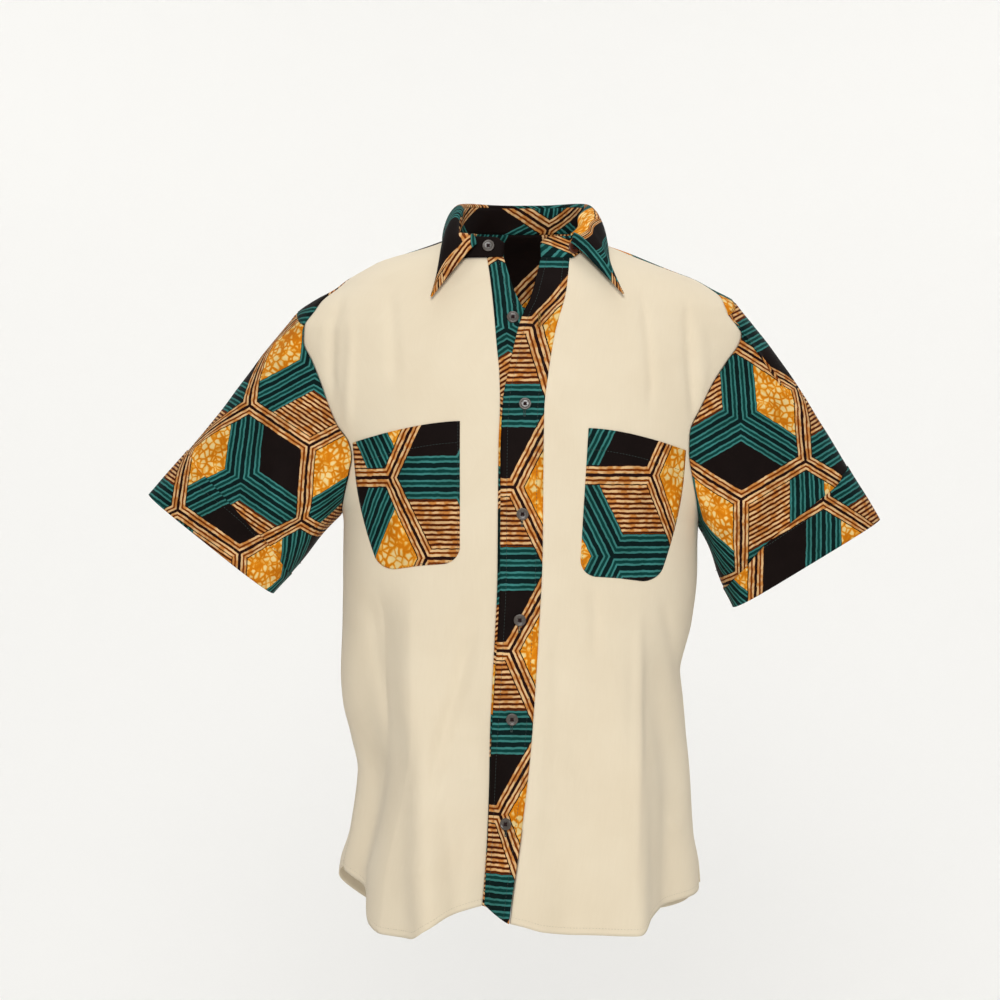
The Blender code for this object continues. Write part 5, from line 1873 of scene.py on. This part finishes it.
def button_mesh(radius):
    """A turned disc with a rolled rim; its four holes are sunk wells in the dished face."""
    vertices = []

    def circle(off, size, height, turns):
        """Adds a row of vertices at these turns round a place, and names them."""
        first = len(vertices)
        for turn in turns:
            spot = (off[0] + size * math.cos(turn), off[1] + size * math.sin(turn), height)
            vertices.append(spot)
        return list(range(first, len(vertices)))

    middle = (0.0, 0.0)
    turns = np.linspace(0.0, math.tau, BUTTON_TURNS, endpoint=False)
    rings = [circle(middle, radius * share, height, turns) for share, height in BUTTON_PROFILE]
    faces = [face for pair in zip(rings, rings[1:]) for face in between(*pair)]
    faces.append(tuple(rings[0][::-1]))

    # The face inside the last ring is split into four sectors, each round one hole
    share, height = BUTTON_PROFILE[-1]
    quarter = BUTTON_TURNS // 4
    (centre,) = circle(middle, 0.0, height, [0.0])
    spokes = [
        [circle(middle, radius * share * part, height, [turn])[0] for part in SPOKE_SHARES]
        for turn in turns[::quarter]
    ]
    inner = rings[-1] + rings[-1][:1]
    for q, spoke in enumerate(spokes):
        after = spokes[(q + 1) % 4]
        border = [centre, *spoke, *inner[q * quarter : (q + 1) * quarter + 1], *after[::-1]]
        aim = turns[q * quarter] + math.pi / 4
        hole = (HOLE_OFF * math.cos(aim), HOLE_OFF * math.sin(aim))
        spots = [vertices[corner] for corner in border]
        angles = [math.atan2(spot[1] - hole[1], spot[0] - hole[0]) for spot in spots]
        rim = circle(hole, HOLE_RADIUS, height - HOLE_EDGE, angles)
        floor = circle(hole, HOLE_RADIUS, height - HOLE_DEPTH, angles)
        faces += between(border, rim) + between(rim, floor)
        faces.append(tuple(floor))
    return vertices, faces


def cross_of_thread():
    """Thread sewn crosswise through the four holes, three strands each way."""
    reach = HOLE_OFF / math.sqrt(2.0)
    starts = []
    ends = []
    for way in (1, -1):
        for strand in (-1, 0, 1):
            aside = strand * STRAND_SPREAD
            starts.append((aside - reach, -way * (aside + reach), STRAND_FOOT))
            ends.append((aside + reach, way * (reach - aside), STRAND_FOOT))
    middle = mix(np.array(starts), np.array(ends), 0.5) + [0.0, 0.0, STRAND_RISE]
    starts, ends = np.concatenate([starts, middle]), np.concatenate([middle, ends])
    return rods(starts, ends, np.tile([0.0, 0.0, 1.0], (len(starts), 1)), STRAND_RADIUS)


def button_seats():
    """Where each button sits: its name and its own axes."""
    half = bpy.context.scene.shirt_look.band_thickness / MM / 2
    for button in BUTTONS:
        points, normals, _ = band_grid(button.on)
        centre, normal = near_on(points, normals, button.x, button.z)
        yield button.name, axes_at(centre + normal * (half + BUTTON_GAP), normal)
    for button in STAND_BUTTONS:
        angle = float(angle_at(button.x, NECK_Z(0)))
        foot, top, _ = stand_lines(np.array([angle, angle + 1.0]))
        normal = np.cross(foot[1] - foot[0], top[0] - foot[0])
        normal = normal / np.linalg.norm(normal)
        centre = mix(foot[0], top[0], button.share)
        yield button.name, axes_at(centre + normal * (half + STAND_BUTTON_GAP), normal)


class SHIRT_OT_buttons(bpy.types.Operator):
    """Makes the four-hole buttons and the thread that holds them"""

    bl_idname = "shirt.buttons"
    bl_label = "Buttons"

    def execute(self, context):
        disc, faces = button_mesh(context.scene.shirt_sewing.button_radius / MM)
        thread, thread_faces = cross_of_thread()
        for name, axes in button_seats():
            slot, finish = "button_resin", "horn_grey_polyester_button"
            if name == "button_under_collar":
                slot, finish = "button_brown", "brown_polyester_button"
            made = make_object(f"{name}_turned", set_in(disc, axes), faces, finish, edges=True)
            place(made, slot, name)
            finish = "maroon_sewing_thread"
            strands = set_in(thread, axes)
            sewn = make_object(f"{name}_thread", strands, thread_faces, finish, edges=True)
            place(sewn, "button_resin")
        return {"FINISHED"}


def buttonhole(length):
    """Close stitches round a slit: starts and ends of each, in the hole's own axes."""
    starts = []
    ends = []
    for k in range(int(length / PURL_PITCH) + 1):
        y = k * PURL_PITCH - length / 2
        for way in (-1, 1):
            starts.append((way * SLIT_HALF, y, 0.0))
            ends.append((way * BUTTONHOLE_WIDTH / 2, y, 0.0))
    for end in (-1, 1):
        for k in range(BAR_STITCHES):
            x = (k - BAR_STITCHES // 2) * PURL_PITCH
            y = length / 2 + BAR_GAP
            starts.append((x, end * y, 0.0))
            ends.append((x, end * (y + BAR_LENGTH), 0.0))
    return starts, ends


class SHIRT_OT_buttonholes(bpy.types.Operator):
    """Works the buttonholes of the outer band in close stitches"""

    bl_idname = "shirt.buttonholes"
    bl_label = "Buttonholes"

    def execute(self, context):
        points, normals, _ = band_grid("band_outer")
        holes = [(*TOP_BUTTONHOLE, "ochre_sewing_thread")]
        for button in BUTTONS:
            if button.on == "band_outer":
                x, z = button.x + BUTTONHOLE_SHIFT, button.z + BUTTONHOLE_DROP
                holes.append((x, z, "dark_sewing_thread"))
        lift = context.scene.shirt_look.band_thickness / MM / 2 + PURL_LIFT
        starts, ends = buttonhole(context.scene.shirt_sewing.buttonhole_length / MM)
        for k, (x, z, thread) in enumerate(holes):
            centre, normal = near_on(points, normals, x, z)
            axes = axes_at(centre + normal * lift, normal)
            outs = np.tile(axes[0][2], (len(starts), 1))
            stitches = rods(set_in(starts, axes), set_in(ends, axes), outs, PURL_RADIUS)
            place(make_object(f"buttonhole_{k}", *stitches, thread, edges=True), PRINTED)
        return {"FINISHED"}


# Stage, in metres

FLOOR_REACH = 9.0
CURVE_START_Y = 2.2
CURVE_RADIUS = 2.0
CURVE_STEPS = 30

# Each lamp's power is given as a share of the key lamp's
Lamp = namedtuple("Lamp", "name where target size share")
MIDDLE = (0.0, 0.0, -0.35)
LAMPS = (
    Lamp("key_softbox", (-0.1, -3.1, 0.8), MIDDLE, (0.8, 0.8), 1.0),
    Lamp("fill_softbox", (2.4, -2.4, 0.4), MIDDLE, (1.4, 1.4), 0.1),
    Lamp("top_softbox", (0.0, 0.3, 2.2), MIDDLE, (2.0, 1.2), 0.35),
    Lamp("backdrop_lamp", (-2.4, 1.3, 1.6), (-0.3, 4.2, 0.0), (1.2, 2.0), 0.7),
    Lamp("backdrop_lamp", (2.4, 1.3, 1.6), (0.3, 4.2, 0.0), (1.2, 2.0), 0.7),
)

VIEW_WIDTH = 1.06
CAMERA_X = -0.022
CAMERA_Z = -0.263
SENSOR_WIDTH = 36.0  # in millimetres


class SHIRT_OT_stage(bpy.types.Operator):
    """Sets the pale floor, the soft lamps and the camera"""

    bl_idname = "shirt.stage"
    bl_label = "Stage"

    def execute(self, context):
        stage = context.scene.shirt_stage
        scene = context.scene
        rows = [(-FLOOR_REACH, -stage.floor_drop)]
        for turn in np.radians(np.linspace(0.0, 90.0, CURVE_STEPS + 1)):
            y = CURVE_START_Y + CURVE_RADIUS * math.sin(turn)
            rows.append((y, CURVE_RADIUS * (1 - math.cos(turn)) - stage.floor_drop))
        rows.append((CURVE_START_Y + CURVE_RADIUS, FLOOR_REACH))
        ends = (-FLOOR_REACH, FLOOR_REACH)
        vertices = np.array([(x, y, z) for y, z in rows for x in ends]) / MM
        faces = [(2 * k, 2 * k + 1, 2 * k + 3, 2 * k + 2) for k in range(len(rows) - 1)]
        make_object("paper_floor", vertices, faces, "matt_studio_paper", edges=True)

        for lamp in LAMPS:
            light = bpy.data.lights.new(lamp.name, "AREA")
            light.shape = "RECTANGLE"
            light.size, light.size_y = lamp.size
            light.energy = stage.key_power * lamp.share
            made = bpy.data.objects.new(lamp.name, light)
            made.location = lamp.where
            aim = Vector(lamp.target) - Vector(lamp.where)
            made.rotation_euler = aim.to_track_quat("-Z", "Y").to_euler()
            scene.collection.objects.link(made)

        scene.view_settings.view_transform = "Standard"
        scene.world = bpy.data.worlds.new("even_studio_light")
        scene.world.use_nodes = True
        sky = scene.world.node_tree.nodes["Background"]
        sky.inputs["Color"].default_value = linear(WHITE)
        sky.inputs["Strength"].default_value = stage.sky_strength

        camera = bpy.data.cameras.new("studio_camera")
        camera.sensor_width = SENSOR_WIDTH
        camera.lens = SENSOR_WIDTH * stage.camera_distance / VIEW_WIDTH
        camera.clip_end = 50.0
        made = bpy.data.objects.new("studio_camera", camera)
        made.location = (CAMERA_X, -stage.camera_distance, CAMERA_Z)
        made.rotation_euler = (math.pi / 2, 0.0, 0.0)
        scene.collection.objects.link(made)
        scene.camera = made
        return {"FINISHED"}


class SHIRT_PT_panel(bpy.types.Panel):
    """Lists the pieces and their settings"""

    bl_idname = "SHIRT_PT_panel"
    bl_label = "Wax print shirt"
    bl_space_type = "VIEW_3D"
    bl_region_type = "UI"
    bl_category = "Shirt"

    def draw(self, context):
        for name, kind in SETTINGS.items():
            for key in kind.__annotations__:
                self.layout.prop(getattr(context.scene, name), key)
        for operator in OPERATORS:
            self.layout.operator(operator.bl_idname)


OPERATORS = (
    SHIRT_OT_stage,
    SHIRT_OT_fronts_and_back,
    SHIRT_OT_yoke,
    SHIRT_OT_front_bands,
    SHIRT_OT_sleeves,
    SHIRT_OT_pockets,
    SHIRT_OT_collar,
    SHIRT_OT_topstitching,
    SHIRT_OT_buttons,
    SHIRT_OT_buttonholes,
)
SETTINGS = {
    "shirt_look": ShirtLook,
    "shirt_sewing": ShirtSewing,
    "shirt_stage": ShirtStage,
}
CLASSES = (*SETTINGS.values(), *OPERATORS, SHIRT_PT_panel)


def register():
    for kind in CLASSES:
        bpy.utils.register_class(kind)
    for name, kind in SETTINGS.items():
        setattr(bpy.types.Scene, name, bpy.props.PointerProperty(type=kind))


def unregister():
    for name in SETTINGS:
        delattr(bpy.types.Scene, name)
    for kind in reversed(CLASSES):
        bpy.utils.unregister_class(kind)


def main():
    register()
    for operator in OPERATORS:
        group, name = operator.bl_idname.split(".")
        getattr(getattr(bpy.ops, group), name)()


if __name__ == "__main__":
    main()
